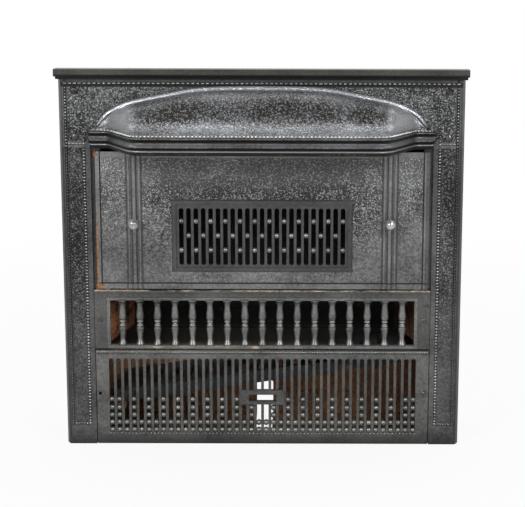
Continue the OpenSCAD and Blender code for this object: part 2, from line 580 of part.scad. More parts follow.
module fire_cheek_left() iron(0.25) place() mirror([1, 0, 0]) cheek();
module fire_back() iron(0.2) place() difference() {
  union() {
    slab(-cheek_x - 30, cheek_x + 30, back_y, chamber_depth, lower_z1, back_top - gap);
    xz(back_y - 2.5, back_y + 1) ring2d(-cheek_x + 26, cheek_x - 26, lower_z1 + 22, back_top - 24, 12);
    for (x = [-150, 0, 150]) slab(x - 3, x + 3, chamber_depth - 1, chamber_depth + 4,
      lower_z1 + 16, back_top - 16);
  }
  both() for (z = rear_bolt_high_z) bar_y(rear_bolt_high_x, z, back_y - 5, chamber_depth + 5, hole_r);
}
module throat_plate() iron(0.24) place() {
  yz(-cheek_x - 30, cheek_x + 30) polygon([[back_y, back_top], [chamber_depth, back_top],
    [chamber_depth, back_top + 11], [throat_back(8), throat_z], [throat_back(0), throat_z],
    [back_y, back_top + 10]]);
}
throat_y0 = 30;
throat_y1 = 86;
throat_x = cheek_x - 72;
loop_y = throat_y0 + 22;
module damper_frame() iron(0.27) place() difference() {
  union() {
    slab(-side_x + 2, side_x - 2, front_t + gap, throat_back(14), throat_z + gap, throat_z + gap + plate_t);
    both() {
      slab(side_x - 3, side_x + 30, front_t + gap, front_t + 22, throat_z + gap, throat_z + gap + plate_t);
      slab(side_x + 1, side_x + 30, front_t + gap, inner_y + gap, throat_z + gap, throat_z + 44);
      slab(throat_x + 12, throat_x + 20, damper_y - 9, damper_y + 9, throat_z + 3, damper_z);
      bar_x(damper_y, damper_z, throat_x + 12, throat_x + 20, 9);
    }
  }
  slab(-throat_x, throat_x, throat_y0, throat_y1, throat_z - 5, throat_z + 20);
  both() bar_y(bolt_x, throat_z + 28, front_t - 2, inner_y + 5, hole_r);
  bar_x(damper_y, damper_z, -throat_x - 30, throat_x + 30, 4.3);
}
dp_z0 = throat_z + gap + plate_t + 0.5;
module damper_plate() iron(0.27) place() difference() {
  union() {
    slab(-throat_x - 6, throat_x + 6, throat_y0 - 6, throat_y1 + 5, dp_z0, dp_z0 + 5);
    for (x = [40 - throat_x, 0, throat_x - 40]) {
      slab(x - 10, x + 10, throat_y1, damper_y, dp_z0, dp_z0 + 5);
      bar_x(damper_y, damper_z, x - 10, x + 10, 7.6);
    }
    slab(-6, 6, loop_y, loop_y + 6, dp_z0 - 31, dp_z0 + 2);
    bar_y(0, dp_z0 - 31, loop_y, loop_y + 6, 9);
    slab(-throat_x + 10, throat_x - 10, throat_y0 + 26, throat_y0 + 31, dp_z0 + 4, dp_z0 + 11);
  }
  bar_x(damper_y, damper_z, -throat_x, throat_x, 4.1);
  bar_y(0, dp_z0 - 31, loop_y - 5, loop_y + 11, 5);
}
module damper_rod() iron(0.4) place() {
  bar_x(damper_y, damper_z, -throat_x - 23, throat_x + 23, 4);
  bar_x(damper_y, damper_z, -throat_x - 26, -throat_x - 22, 6.5);
  bar_x(damper_y, damper_z, throat_x + 22, throat_x + 26, 6.5);
}

// ---------------------------------------------------------------- grate
gslot_n = 15;
module grate_flat() difference() {
  union() {
    slab(-grate_l, -12, grate_y0, grate_y1, 0, 10);
    slab(-grate_l, -12, grate_y0, grate_y0 + 9, -12, 10);
    slab(-grate_l, -12, grate_y1 - 9, grate_y1, -12, 10);
    for (x = [-grate_l, -21]) slab(x, x + 9, grate_y0, grate_y1, -8, 10);
    for (y = [grate_y0 + 15, grate_y1 - 29]) {
      slab(-22, 0, y, y + 14, -9.4, 9.4);
      bar_y(0, 0, y, y + 14, 10);
    }
  }
  xy(-20, 20) for (i = [0 : gslot_n - 1]) {
    p = (grate_l - 60) / gslot_n;
    x = -grate_l + 24 + (i + 0.5) * p;
    translate([x - 7, grate_y0 + 22]) square([14, grate_y1 - grate_y0 - 44]);
    for (y = [grate_y0 + 22, grate_y1 - 22]) translate([x, y]) circle(r = 7);
  }
  bar_y(0, 0, grate_y0 - 5, grate_y1 + 5, 5.3);
}
module fire_grate() iron(0.3) place() translate([rod_x, 0, rod_z]) rotate([0, -grate_drop, 0]) grate_flat();
module grate_rod() iron(0.4) place() {
  bar_y(rod_x, rod_z, grate_y0 + 0.5, grate_y1 - 0.5, 5);
  bar_y(rod_x, rod_z, grate_y0 - 1.5, grate_y0 + 2.8, 8);
  bar_y(rod_x, rod_z, grate_y1 - 2.8, grate_y1 + 1.5, 8);
}

// ---------------------------------------------------------------- bolts of the chamber
module front_flange_bolts() iron(0.4) place() both() {
  for (z = concat(flange_bolts_low, flange_bolts_high)) rear_bolt(bolt_x, z, inner_y + 6.4, 15);
  rear_bolt(bolt_x, throat_z + 28, inner_y + gap + 0.1, 10.5);
}
module back_flange_bolts() iron(0.4) place() both() {
  for (z = flange_bolts_low) {
    rear_bolt(rear_bolt_low_x, z, chamber_depth + 0.1, 20);
    translate([rear_bolt_low_x, flange_y1 - 6.1, z]) rotate([90, 0, 0]) cylinder(r = 6.2, h = 5, $fn = 6);
  }
  for (z = rear_bolt_high_z) {
    rear_bolt(rear_bolt_high_x, z, chamber_depth + 0.1, 20);
    translate([rear_bolt_high_x, flange_y1 - 6.1, z]) rotate([90, 0, 0]) cylinder(r = 6.2, h = 5, $fn = 6);
  }
}

left_pilaster();
right_pilaster();
frieze_panel();
frieze_bolts();
cap_moulding();
cap_bolts();
hood();
hood_bolts();
cover_plate();
knob_left();
knob_right();
knob_nuts();
baluster_gallery();
gallery_screws();
ash_front();
ash_front_screw();
base_plate();
ash_side_left();
ash_side_right();
lower_back();
fire_cheek_left();
fire_cheek_right();
fire_back();
throat_plate();
damper_frame();
damper_plate();
damper_rod();
fire_grate();
grate_rod();
front_flange_bolts();
back_flange_bolts();
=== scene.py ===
import math

import bmesh
import bpy
from mathutils import Matrix, Vector


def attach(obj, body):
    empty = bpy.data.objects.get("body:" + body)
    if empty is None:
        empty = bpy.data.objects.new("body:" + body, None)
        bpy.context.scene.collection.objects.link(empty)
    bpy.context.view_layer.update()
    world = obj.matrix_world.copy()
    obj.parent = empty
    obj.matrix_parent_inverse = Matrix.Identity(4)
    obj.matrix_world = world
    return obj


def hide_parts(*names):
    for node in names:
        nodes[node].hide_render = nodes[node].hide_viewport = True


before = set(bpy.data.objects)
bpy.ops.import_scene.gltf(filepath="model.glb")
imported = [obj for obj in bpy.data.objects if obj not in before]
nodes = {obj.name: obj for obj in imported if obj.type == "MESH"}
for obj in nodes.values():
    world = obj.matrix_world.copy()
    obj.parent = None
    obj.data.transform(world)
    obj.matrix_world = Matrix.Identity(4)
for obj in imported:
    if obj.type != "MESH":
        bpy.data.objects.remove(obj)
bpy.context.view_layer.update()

# ---------------------------------------------------------------- camera
# The photograph is taken from just above and a little to the right, through a long lens,
# square to the front.
photo_width = 525
focal_px = 1463.5
crop_shift = -0.0767
camera_place = Vector((0.076, -2.7266, 0.8932))
camera_pitch = math.radians(10.965)
camera_roll = math.radians(0.17)
camera_data = bpy.data.cameras.new("photo_camera")
camera_data.sensor_width = 36
camera_data.sensor_fit = "HORIZONTAL"
camera_data.lens = focal_px * camera_data.sensor_width / photo_width
camera_data.shift_x = crop_shift
camera_data.clip_end = 100
camera = bpy.data.objects.new("photo_camera", camera_data)
camera.matrix_world = (Matrix.Translation(camera_place)
                       @ Matrix.Rotation(math.pi / 2 - camera_pitch, 4, "X")
                       @ Matrix.Rotation(camera_roll, 4, "Z"))
bpy.context.scene.collection.objects.link(camera)
bpy.context.scene.camera = camera


# ---------------------------------------------------------------- floor and light
# A white studio floor that runs out into a white surround, one wide soft box overhead and
# slightly behind, and two smaller ones, about as strong, in front at the left and right.
def add(tree, kind, inputs=None, **settings):
    """Adds one node, with its settings, and links or sets its inputs."""
    node = tree.nodes.new(kind)
    for key, value in settings.items():
        setattr(node, key, value)
    for key, value in (inputs or {}).items():
        if isinstance(value, bpy.types.Node):
            value = next(s for s in value.outputs if s.enabled)
        if isinstance(value, bpy.types.NodeSocket):
            tree.links.new(value, node.inputs[key])
        else:
            node.inputs[key].default_value = value
    return node


def colour(code):
    """sRGB hex to linear RGBA."""
    parts = [int(code[i:i + 2], 16) / 255 for i in (1, 3, 5)]
    return [c / 12.92 if c <= 0.04045 else ((c + 0.055) / 1.055) ** 2.4 for c in parts] + [1.0]


def new_material(name):
    """An empty node material and its tree."""
    material = bpy.data.materials.new(name)
    material.use_nodes = True
    material.node_tree.nodes.clear()
    return material, material.node_tree


def joined(tree, how, *masks):
    """Masks and shares combined: MULTIPLY keeps what all have, MAXIMUM what any has."""
    out = masks[0]
    for mask in masks[1:]:
        out = add(tree, "ShaderNodeMath", {0: out, 1: mask}, operation=how)
    return out


def seen_plainly(tree):
    """1 for a ray from the camera, a mirror or a glass; 0 for light that spreads."""
    ray = add(tree, "ShaderNodeLightPath").outputs
    return joined(tree, "MAXIMUM", ray["Is Camera Ray"], ray["Is Glossy Ray"],
                  ray["Is Transmission Ray"])


bpy.context.scene.view_settings.view_transform = "Standard"
white = colour("#ffffff")
surround_light = 0.45   # the surround's own share of the light on the object
room_light = 0.25       # how bright a room the metal mirrors in front of the object
world = bpy.data.worlds.new("white_surround")
world.use_nodes = True
sky = world.node_tree
sky.nodes.clear()
# metal mirrors the white backdrop behind the object, and a dimmer room in front of it
way = add(sky, "ShaderNodeTexCoord").outputs["Generated"]
way = add(sky, "ShaderNodeSeparateXYZ", {0: way}).outputs["Y"]
room = add(sky, "ShaderNodeMapRange", {"Value": way, "From Min": -0.5, "From Max": 0.3,
                                       "To Min": room_light, "To Max": 1.0})
eye = add(sky, "ShaderNodeLightPath").outputs["Is Camera Ray"]
room = joined(sky, "MAXIMUM", room, eye)
strength = add(sky, "ShaderNodeMapRange", {"Value": seen_plainly(sky),
                                           "To Min": surround_light, "To Max": room})
light = add(sky, "ShaderNodeBackground", {"Color": white, "Strength": strength})
add(sky, "ShaderNodeOutputWorld", {"Surface": light})
bpy.context.scene.world = world

floor_half = 7.0
floor_corners = [(x * floor_half, y * floor_half, 0)
                 for x, y in ((-1, -1), (1, -1), (1, 1), (-1, 1))]
floor_mesh = bpy.data.meshes.new("studio_floor")
floor_mesh.from_pydata(floor_corners, [], [(0, 1, 2, 3)])
floor = bpy.data.objects.new("studio_floor", floor_mesh)
bpy.context.scene.collection.objects.link(floor)
# matt paint: an even pale ground with no mirror in it
floor_paint, tree = new_material("white_floor_paint")
place = add(tree, "ShaderNodeTexCoord").outputs["Object"]
# near the object a tenth of what is seen is paint that takes its shadow; farther off none is
away = add(tree, "ShaderNodeVectorMath", {0: place}, operation="LENGTH").outputs["Value"]
far = add(tree, "ShaderNodeMapRange", {"Value": away, "From Min": 0.6, "From Max": 2.4,
                                       "To Min": 0.9, "To Max": 1.0})
# metal mirrors the floor as white behind the object, and as plain paint in front of it
depth = add(tree, "ShaderNodeSeparateXYZ", {0: place}).outputs["Y"]
behind = add(tree, "ShaderNodeMapRange", {"Value": depth, "From Min": -0.5, "From Max": 0.4})
eye = add(tree, "ShaderNodeLightPath").outputs["Is Camera Ray"]
share = joined(tree, "MULTIPLY", seen_plainly(tree), far, joined(tree, "MAXIMUM", behind, eye))
paint = add(tree, "ShaderNodeBsdfDiffuse", {"Color": colour("#c4c4c4")})
glow = add(tree, "ShaderNodeEmission", {"Color": white, "Strength": 1.0})
mixed = add(tree, "ShaderNodeMixShader", {0: share, 1: paint, 2: glow})
add(tree, "ShaderNodeOutputMaterial", {"Surface": mixed})
floor_mesh.materials.append(floor_paint)

# name, place, size and watts
soft_boxes = [("overhead_box", (0.0, 0.6, 2.3), (3.6, 1.8), 52),
              ("left_box", (-1.6, -2.2, 1.75), (1.0, 1.2), 54),
              ("right_box", (1.6, -2.2, 1.75), (1.0, 1.2), 50)]
daylight = (0.94, 0.97, 1.0)
object_middle = Vector((0, 0, 0.38))
for name, spot, size, watts in soft_boxes:
    lamp = bpy.data.lights.new(name, "AREA")
    lamp.shape = "RECTANGLE"
    lamp.size, lamp.size_y = size
    lamp.energy = watts
    lamp.color = daylight
    box = bpy.data.objects.new(name, lamp)
    box.location = spot
    box.rotation_euler = (object_middle - box.location).to_track_quat("-Z", "Y").to_euler()
    bpy.context.scene.collection.objects.link(box)

# ---------------------------------------------------------------- pilasters
# Two upright iron castings with a sunk pebbled field between two beaded lines. They are
# cast in sand, cleaned, and blackened with graphite polish, which leaves a dark sheen.
front_y = -0.03825      # front face of the pilasters in the shared frame
bead_in_x = 0.3288      # inner beaded line
bead_out_x = 0.361      # outer beaded line
foot_line_z = 0.0406    # beaded line across the foot
seam_z = 0.570          # where the frieze stands on them
bead_ground = 0.003     # half the dark ground under a row of beads
field_gap = 0.0035      # from a row of beads to the pebbles
worn_z0, worn_z1 = 0.14, 0.34   # worn below the first height and not above the second
beyond = 2.0            # farther out than any point of the object


def within(tree, value, low, high, soft=0.0006):
    """1 where value lies between low and high, and 0 outside, fading over soft."""
    rise = add(tree, "ShaderNodeMapRange",
               {"Value": value, "From Min": low - soft, "From Max": low + soft},
               interpolation_type="SMOOTHSTEP")
    fall = add(tree, "ShaderNodeMapRange",
               {"Value": value, "From Min": high - soft, "From Max": high + soft,
                "To Min": 1.0, "To Max": 0.0}, interpolation_type="SMOOTHSTEP")
    return joined(tree, "MULTIPLY", rise, fall)


def opposite(tree, mask):
    """1 minus the mask."""
    return add(tree, "ShaderNodeMath", {0: 1.0, 1: mask}, operation="SUBTRACT")


def on_front(tree, at, depth=0.0022):
    """The front of a plate, down to a depth in its grooves."""
    return within(tree, at["y"], -beyond, front_y + depth, 0.0004)


def cast_iron(name, dull, bright, roughness=(0.3, 0.5), metallic=0.75, wear_and_top_light=0.3, polish=0.46,
              sand=0.00012, pebbles=None, pebble_height=0.0007, shine=None, shaded=None,
              rust_and_tan_highlight=None):
    """Cast iron: a dull and a bright tone that drift over the casting, the fine grain of the
    moulding sand, faces painted lighter where they look up and darker where they look down as
    painted light and shade, pebbles where a mask says with painted shade in their hollows and
    painted glints on their tops, places painted lighter and painted shade where masks say, and
    patches of crust on their own mask: rusted scale, and on the gallery a painted tan highlight."""
    material, tree = new_material(name)
    place = add(tree, "ShaderNodeTexCoord").outputs["Object"]
    axes = add(tree, "ShaderNodeSeparateXYZ", {0: place}).outputs
    at = {"x": axes["X"], "y": axes["Y"], "z": axes["Z"],
          "side": add(tree, "ShaderNodeMath", {0: axes["X"]}, operation="ABSOLUTE").outputs[0]}

    def toned(tone, change):
        """The tone moved toward bright or dull, kept between 0 and 1."""
        return add(tree, "ShaderNodeMath", {0: tone, 1: change}, operation="ADD", use_clamp=True)

    # broad drifts of polish, 70 mm across
    drift = add(tree, "ShaderNodeTexNoise", {"Vector": place, "Scale": 1 / 0.07, "Detail": 4.0,
                                             "Roughness": 0.6}).outputs["Fac"]
    tone = add(tree, "ShaderNodeMapRange", {"Value": drift, "From Min": 0.35, "From Max": 0.68,
                                            "To Min": polish - 0.16, "To Max": polish + 0.16})
    # small mottling, 5 mm across
    mottle = add(tree, "ShaderNodeTexNoise", {"Vector": place, "Scale": 1 / 0.005, "Detail": 3.0,
                                              "Roughness": 0.7}).outputs["Fac"]
    fleck = add(tree, "ShaderNodeMapRange", {"Value": mottle, "From Min": 0.35, "From Max": 0.7,
                                             "To Min": -0.16, "To Max": 0.2})
    tone = toned(tone, fleck)
    # painted light and shade: faces that look up are painted lighter, faces that look down darker
    normal = add(tree, "ShaderNodeNewGeometry").outputs["Normal"]
    facing = add(tree, "ShaderNodeSeparateXYZ", {0: normal}).outputs["Z"]
    facing = add(tree, "ShaderNodeMapRange", {"Value": facing, "From Min": -0.8, "From Max": 0.8,
                                              "To Min": -wear_and_top_light, "To Max": wear_and_top_light})
    tone = toned(tone, facing)
    # moulding sand, drawn at 1.2 mm because its true 0.2 mm doesn't show
    grain = add(tree, "ShaderNodeTexNoise", {"Vector": place, "Scale": 1 / 0.0012,
                                             "Detail": 2.0}).outputs["Fac"]
    relief = {"Strength": 0.6, "Distance": sand, "Height": grain}
    if pebbles:
        area = pebbles(tree, at)
        # pebbles about 3.4 mm apart, broken up by finer lumps
        pebble_pitch = 0.0034
        cells = add(tree, "ShaderNodeTexVoronoi",
                    {"Vector": place, "Scale": 1 / pebble_pitch, "Smoothness": 0.5},
                    feature="SMOOTH_F1").outputs["Distance"]
        lumps = add(tree, "ShaderNodeTexNoise",
                    {"Vector": place, "Scale": 0.75 / pebble_pitch, "Detail": 2.5,
                     "Roughness": 0.65}).outputs["Fac"]
        dome = add(tree, "ShaderNodeMapRange", {"Value": cells, "From Min": 0.1, "From Max": 0.62,
                                                "To Min": 0.62, "To Max": -0.1})
        dome = add(tree, "ShaderNodeMath", {0: dome, 1: lumps}, operation="ADD")
        dome = add(tree, "ShaderNodeMapRange", {"Value": dome, "From Min": 0.5, "From Max": 1.05},
                   interpolation_type="SMOOTHSTEP")
        lift = joined(tree, "MULTIPLY", dome, area)
        relief["Normal"] = add(tree, "ShaderNodeBump", {"Strength": 1.0, "Height": lift,
                                                        "Distance": pebble_height})
        # painted shade and glints: the pebbles' hollows are painted darker and their tops lighter
        pebble_painted_shade_and_glint = add(tree, "ShaderNodeMapRange", {"Value": dome, "To Min": -0.34, "To Max": 0.3})
        tone = toned(tone, joined(tree, "MULTIPLY", pebble_painted_shade_and_glint, area))
    if shine:
        tone = toned(tone, shine(tree, at))
    if shaded:
        tone = joined(tree, "MULTIPLY", tone, opposite(tree, shaded(tree, at)))
    surface = add(tree, "ShaderNodeMixRGB", {0: tone, 1: colour(dull), 2: colour(bright)})
    rough = add(tree, "ShaderNodeMapRange", {"Value": tone, "To Min": roughness[1],
                                             "To Max": roughness[0]})
    metal = metallic
    # a crust on its own mask: rusted scale, and on the gallery a tan highlight painted along its
    # edges
    if rust_and_tan_highlight:
        dark_crust_colour, light_crust_colour, cover, spread = rust_and_tan_highlight
        patch = add(tree, "ShaderNodeTexNoise", {"Vector": place, "Scale": 1 / 0.03, "Detail": 7.0,
                                                 "Roughness": 0.72}).outputs["Fac"]
        patch = add(tree, "ShaderNodeMapRange",
                    {"Value": patch, "From Min": 0.78 - 0.6 * cover, "From Max": 0.9 - 0.6 * cover},
                    interpolation_type="SMOOTHSTEP")
        if spread:
            patch = joined(tree, "MULTIPLY", patch, spread(tree, at))
        scale = add(tree, "ShaderNodeMapRange", {"Value": mottle, "From Min": 0.32,
                                                 "From Max": 0.66})
        crust = add(tree, "ShaderNodeMixRGB", {0: scale, 1: colour(dark_crust_colour),
                                               2: colour(light_crust_colour)})
        surface = add(tree, "ShaderNodeMixRGB", {0: patch, 1: surface, 2: crust})
        rough = add(tree, "ShaderNodeMapRange", {"Value": patch, "To Min": rough, "To Max": 0.88})
        metal = add(tree, "ShaderNodeMapRange", {"Value": patch, "To Min": metal, "To Max": 0.0})
    bump = add(tree, "ShaderNodeBump", relief)
    shader = add(tree, "ShaderNodeBsdfPrincipled", {"Base Color": surface, "Roughness": rough,
                                                    "Metallic": metal, "Normal": bump})
    add(tree, "ShaderNodeOutputMaterial", {"Surface": shader})
    return material


def dress(material, *node_names):
    """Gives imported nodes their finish."""
    for node_name in node_names:
        slots = nodes[node_name].material_slots
        for slot in slots:
            slot.material = material
        if not slots:
            nodes[node_name].data.materials.append(material)


def pilaster_field(tree, at):
    """The pebbled field between the beaded lines, above the foot line, worn flatter low down."""
    across = within(tree, at["side"], bead_in_x + field_gap, bead_out_x - field_gap)
    up = within(tree, at["z"], foot_line_z + 0.004, beyond)
    worn = add(tree, "ShaderNodeMapRange", {"Value": at["z"], "From Min": worn_z0,
                                            "From Max": worn_z1, "To Min": 0.4, "To Max": 1.0})
    return joined(tree, "MULTIPLY", across, up, worn, on_front(tree, at))


def pilaster_shine(tree, at):
    """The lower half, lighter on the right and darker on the left."""
    low = within(tree, at["z"], foot_line_z, 0.28, 0.06)
    right = add(tree, "ShaderNodeMapRange", {"Value": at["x"], "From Min": -0.1, "From Max": 0.1,
                                             "To Min": -0.06, "To Max": 0.12})
    return joined(tree, "MULTIPLY", low, right)


def outer_strip(tree, at):
    """Painted shade on the strip outside the outer beaded line, and on the sides."""
    strip = within(tree, at["side"], bead_out_x + 0.004, beyond, 0.001)
    return joined(tree, "MULTIPLY", strip, 0.6)


def pilaster_painted_shade(tree, at):
    """Painted shade in the ground that the beads stand on and in its corners, and painted shade
    darkening the foot towards the floor.
    """
    rows = [within(tree, at["side"], x - bead_ground, x + bead_ground)
            for x in (bead_in_x, bead_out_x)]
    upright = joined(tree, "MULTIPLY", joined(tree, "MAXIMUM", *rows),
                     within(tree, at["z"], foot_line_z - bead_ground, beyond))
    low = joined(tree, "MULTIPLY",
                 within(tree, at["z"], foot_line_z - bead_ground, foot_line_z + bead_ground),
                 within(tree, at["side"], bead_in_x - bead_ground, bead_out_x + bead_ground))
    # the painted shade in the ground is weaker low down, in the worn zone
    worn = add(tree, "ShaderNodeMapRange", {"Value": at["z"], "From Min": worn_z0,
                                            "From Max": worn_z1, "To Min": 0.55, "To Max": 0.9})
    ground = joined(tree, "MULTIPLY", joined(tree, "MAXIMUM", upright, low), worn,
                    on_front(tree, at, 0.0012))
    foot = add(tree, "ShaderNodeMapRange", {"Value": at["z"], "From Min": 0.0, "From Max": 0.034,
                                            "To Min": 0.75, "To Max": 0.0})
    return joined(tree, "MAXIMUM", ground, foot, outer_strip(tree, at))


# polish over sand-cast iron: near black, with grey glints on its pebbles
pilaster_iron = cast_iron("graphite_polished_cast_iron_pilaster", "#252524", "#7c7c79",
                          pebbles=pilaster_field, shaded=pilaster_painted_shade, shine=pilaster_shine)
dress(pilaster_iron, "left_pilaster", "right_pilaster")


# ---------------------------------------------------------------- beaded lines of the frame
# Rows of small cast beads along the edges of the pilasters and the frieze. They are part of
# the castings, rubbed bright except in the pilasters' outer rows, and their tops are painted
# lighter as painted light.
def new_group(name, output, inputs):
    """A geometry node tree with named inputs, and the sockets that give them."""
    tree = bpy.data.node_groups.new(name, "GeometryNodeTree")
    for label, kind, first in inputs:
        socket = tree.interface.new_socket(label, in_out="INPUT", socket_type=kind)
        if first is not None:
            socket.default_value = first
    tree.interface.new_socket(output, in_out="OUTPUT", socket_type="NodeSocketGeometry")
    return tree, add(tree, "NodeGroupInput").outputs


def cast_on(tree, given, points, size, smallest, largest, segments, rings, **placing):
    """Sets a ball on every point, each a little smaller or larger, and ends the tree."""
    ball = add(tree, "GeometryNodeMeshUVSphere", {"Segments": segments, "Rings": rings,
                                                  "Radius": 1.0})
    vary = add(tree, "FunctionNodeRandomValue", {2: smallest, 3: largest, "Seed": given["Wear"]},
               data_type="FLOAT")
    size = add(tree, "ShaderNodeVectorMath", {0: size, 3: vary.outputs[1]}, operation="SCALE")
    balls = add(tree, "GeometryNodeInstanceOnPoints", {"Points": points, "Scale": size,
                                                       "Instance": ball, **placing})
    balls = add(tree, "GeometryNodeRealizeInstances", {"Geometry": balls})
    balls = add(tree, "GeometryNodeSetShadeSmooth", {0: balls})
    balls = add(tree, "GeometryNodeSetMaterial", {"Geometry": balls, "Material": given["Finish"]})
    add(tree, "NodeGroupOutput", {0: balls})


bead_tree, given = new_group("cast_beads_on_a_line", "Beads", (
    ("Line", "NodeSocketGeometry", None), ("Pitch", "NodeSocketFloat", 0.0056),
    ("Length", "NodeSocketFloat", 0.0018), ("Width", "NodeSocketFloat", 0.0015),
    ("Height", "NodeSocketFloat", 0.0026), ("Wear", "NodeSocketInt", 7),
    ("Finish", "NodeSocketMaterial", None)))
curve = add(bead_tree, "GeometryNodeMeshToCurve", {"Mesh": given["Line"]})
curve = add(bead_tree, "GeometryNodeResampleCurve", {"Curve": curve, "Length": given["Pitch"]},
            mode="LENGTH")
tangent = add(bead_tree, "GeometryNodeInputTangent")
turn = add(bead_tree, "FunctionNodeAlignRotationToVector", {"Vector": tangent},
           axis="X", pivot_axis="Y")
size = add(bead_tree, "ShaderNodeCombineXYZ", {0: given["Length"], 1: given["Height"],
                                               2: given["Width"]})
cast_on(bead_tree, given, curve, size, 0.86, 1.08, segments=8, rings=6, Rotation=turn)


def grown(name, mesh, group, inputs, body="frame"):
    """Runs a node tree over a guide mesh and keeps the result as a plain piece."""
    piece = bpy.data.objects.new(name, mesh)
    bpy.context.scene.collection.objects.link(piece)
    modifier = piece.modifiers.new(name, "NODES")
    modifier.node_group = group
    names = {item.name: item.identifier for item in group.interface.items_tree
             if item.in_out == "INPUT"}
    for label, value in inputs.items():
        modifier[names[label]] = value
    bpy.context.view_layer.update()
    depsgraph = bpy.context.evaluated_depsgraph_get()
    made = bpy.data.meshes.new_from_object(piece.evaluated_get(depsgraph), depsgraph=depsgraph)
    piece.modifiers.clear()
    piece.data = made
    made.name = name
    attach(piece, body)


def lines(name, runs):
    """A guide mesh of open lines through the given points."""
    points, edges = [], []
    for run in runs:
        start = len(points)
        points += run
        edges += [(i, i + 1) for i in range(start, len(points) - 1)]
    mesh = bpy.data.meshes.new(name)
    mesh.from_pydata(points, edges, [])
    return mesh


# cast iron rubbed back to the metal on its beads, their tops painted lighter as painted light:
# small sharp glints
bright_bead = cast_iron("rubbed_bright_cast_iron_bead", "#4a4a48", "#cfcfcc",
                        roughness=(0.26, 0.4), metallic=0.8, wear_and_top_light=0.5, sand=0.00004)
# beads left under their polish: soft grey dots
dull_bead = cast_iron("dull_cast_iron_bead", "#2e2e2d", "#90908d", wear_and_top_light=0.4)
inner_row = {"Finish": bright_bead, "Pitch": 0.0058, "Length": 0.0023, "Width": 0.0025}
outer_row = {"Finish": dull_bead}
foot_row = {"Finish": bright_bead, "Pitch": 0.0042, "Length": 0.0021}
seam_gap = 0.003        # the upright rows stop this far from the seam
row_gap = 0.006         # a level row stops this far from an upright one
for side, label in ((-1, "left"), (1, "right")):
    inner, outer = ([(side * x, front_y, foot_line_z), (side * x, front_y, seam_z - seam_gap)]
                    for x in (bead_in_x, bead_out_x))
    foot = [(side * x, front_y, foot_line_z) for x in (bead_in_x + row_gap, bead_out_x - row_gap)]
    for row, run, looks in (("_inner", inner, inner_row), ("_outer", outer, outer_row),
                            ("_foot", foot, foot_row)):
        guide = lines(label + "_pilaster" + row + "_line", [run])
        grown(label + "_pilaster" + row + "_beads", guide, bead_tree, looks)

# ---------------------------------------------------------------- frieze
# One iron panel across the top, pebbled all over inside its beaded lines, with a low arch
# cut out behind the hood. Four domed bolts hold it to the pilasters.
frieze_line_z = 0.6885  # long beaded line along its top
short_line_z = 0.5777   # short beaded lines beside the hood
hood_foot_z = 0.6015    # top edge of the hood's lip


def frieze_field(tree, at):
    """All of the frieze inside its beaded lines."""
    across = within(tree, at["side"], -beyond, bead_out_x - field_gap)
    up = within(tree, at["z"], short_line_z + 0.004, frieze_line_z - field_gap)
    return joined(tree, "MULTIPLY", across, up, on_front(tree, at))


def frieze_painted_shade(tree, at):
    """Painted shade in the ground under the frieze's beads, and painted shadow of the cap on the
    strip above them.
    """
    top = within(tree, at["z"], frieze_line_z - 0.0065, frieze_line_z + bead_ground, 0.0012)
    edge = within(tree, at["side"], bead_out_x - bead_ground, bead_out_x + bead_ground)
    above = joined(tree, "MULTIPLY", within(tree, at["z"], frieze_line_z + 0.002, beyond), 0.75)
    ground = joined(tree, "MULTIPLY", joined(tree, "MAXIMUM", top, edge, above),
                    on_front(tree, at))
    return joined(tree, "MAXIMUM", ground, outer_strip(tree, at))


# polish over coarse sand-cast iron: it glitters in small flecks
frieze_iron = cast_iron("graphite_polished_cast_iron_frieze", "#2b2b2a", "#9a9a98",
                        pebbles=frieze_field, shaded=frieze_painted_shade)
dress(frieze_iron, "frieze_panel")
top_run = [(-bead_out_x, front_y, frieze_line_z), (bead_out_x, front_y, frieze_line_z)]
grown("frieze_top_beads", lines("frieze_top_line", [top_run]), bead_tree,
      {"Finish": bright_bead, "Pitch": 0.009, "Length": 0.0037, "Width": 0.0016, "Wear": 11})
for side, label in ((-1, "left"), (1, "right")):
    inner_x, outer_x = side * bead_in_x, side * bead_out_x
    runs = [[(outer_x, front_y, seam_z + seam_gap), (outer_x, front_y, frieze_line_z - 0.008)],
            [(inner_x, front_y, short_line_z + row_gap), (inner_x, front_y, hood_foot_z - 0.002)],
            [(inner_x, front_y, short_line_z),
             (side * (bead_out_x - row_gap), front_y, short_line_z)]]
    grown(label + "_frieze_beads", lines(label + "_frieze_line", runs), bead_tree,
          {"Finish": bright_bead, "Length": 0.0021, "Width": 0.0019, "Wear": 13})


def turned_steel(name, dark, light, roughness, metallic=1.0):
    """Turned or rolled steel: metal with fine tool marks, and stains that drift over it."""
    material, tree = new_material(name)
    place = add(tree, "ShaderNodeTexCoord").outputs["Object"]
    # stains, 12 mm across
    stain = add(tree, "ShaderNodeTexNoise", {"Vector": place, "Scale": 1 / 0.012, "Detail": 5.0,
                                             "Roughness": 0.65}).outputs["Fac"]
    stain = add(tree, "ShaderNodeMapRange", {"Value": stain, "From Min": 0.34, "From Max": 0.62})
    surface = add(tree, "ShaderNodeMixRGB", {0: stain, 1: colour(dark), 2: colour(light)})
    rough = add(tree, "ShaderNodeMapRange", {"Value": stain, "To Min": roughness[1],
                                             "To Max": roughness[0]})
    # tool marks, drawn at 0.9 mm because their true 0.2 mm doesn't show
    marks = add(tree, "ShaderNodeTexNoise", {"Vector": place, "Scale": 1 / 0.0009,
                                             "Detail": 1.0}).outputs["Fac"]
    bump = add(tree, "ShaderNodeBump", {"Strength": 0.35, "Distance": 0.00006, "Height": marks})
    shader = add(tree, "ShaderNodeBsdfPrincipled", {"Base Color": surface, "Roughness": rough,
                                                    "Metallic": metallic, "Normal": bump})
    add(tree, "ShaderNodeOutputMaterial", {"Surface": shader})
    return material


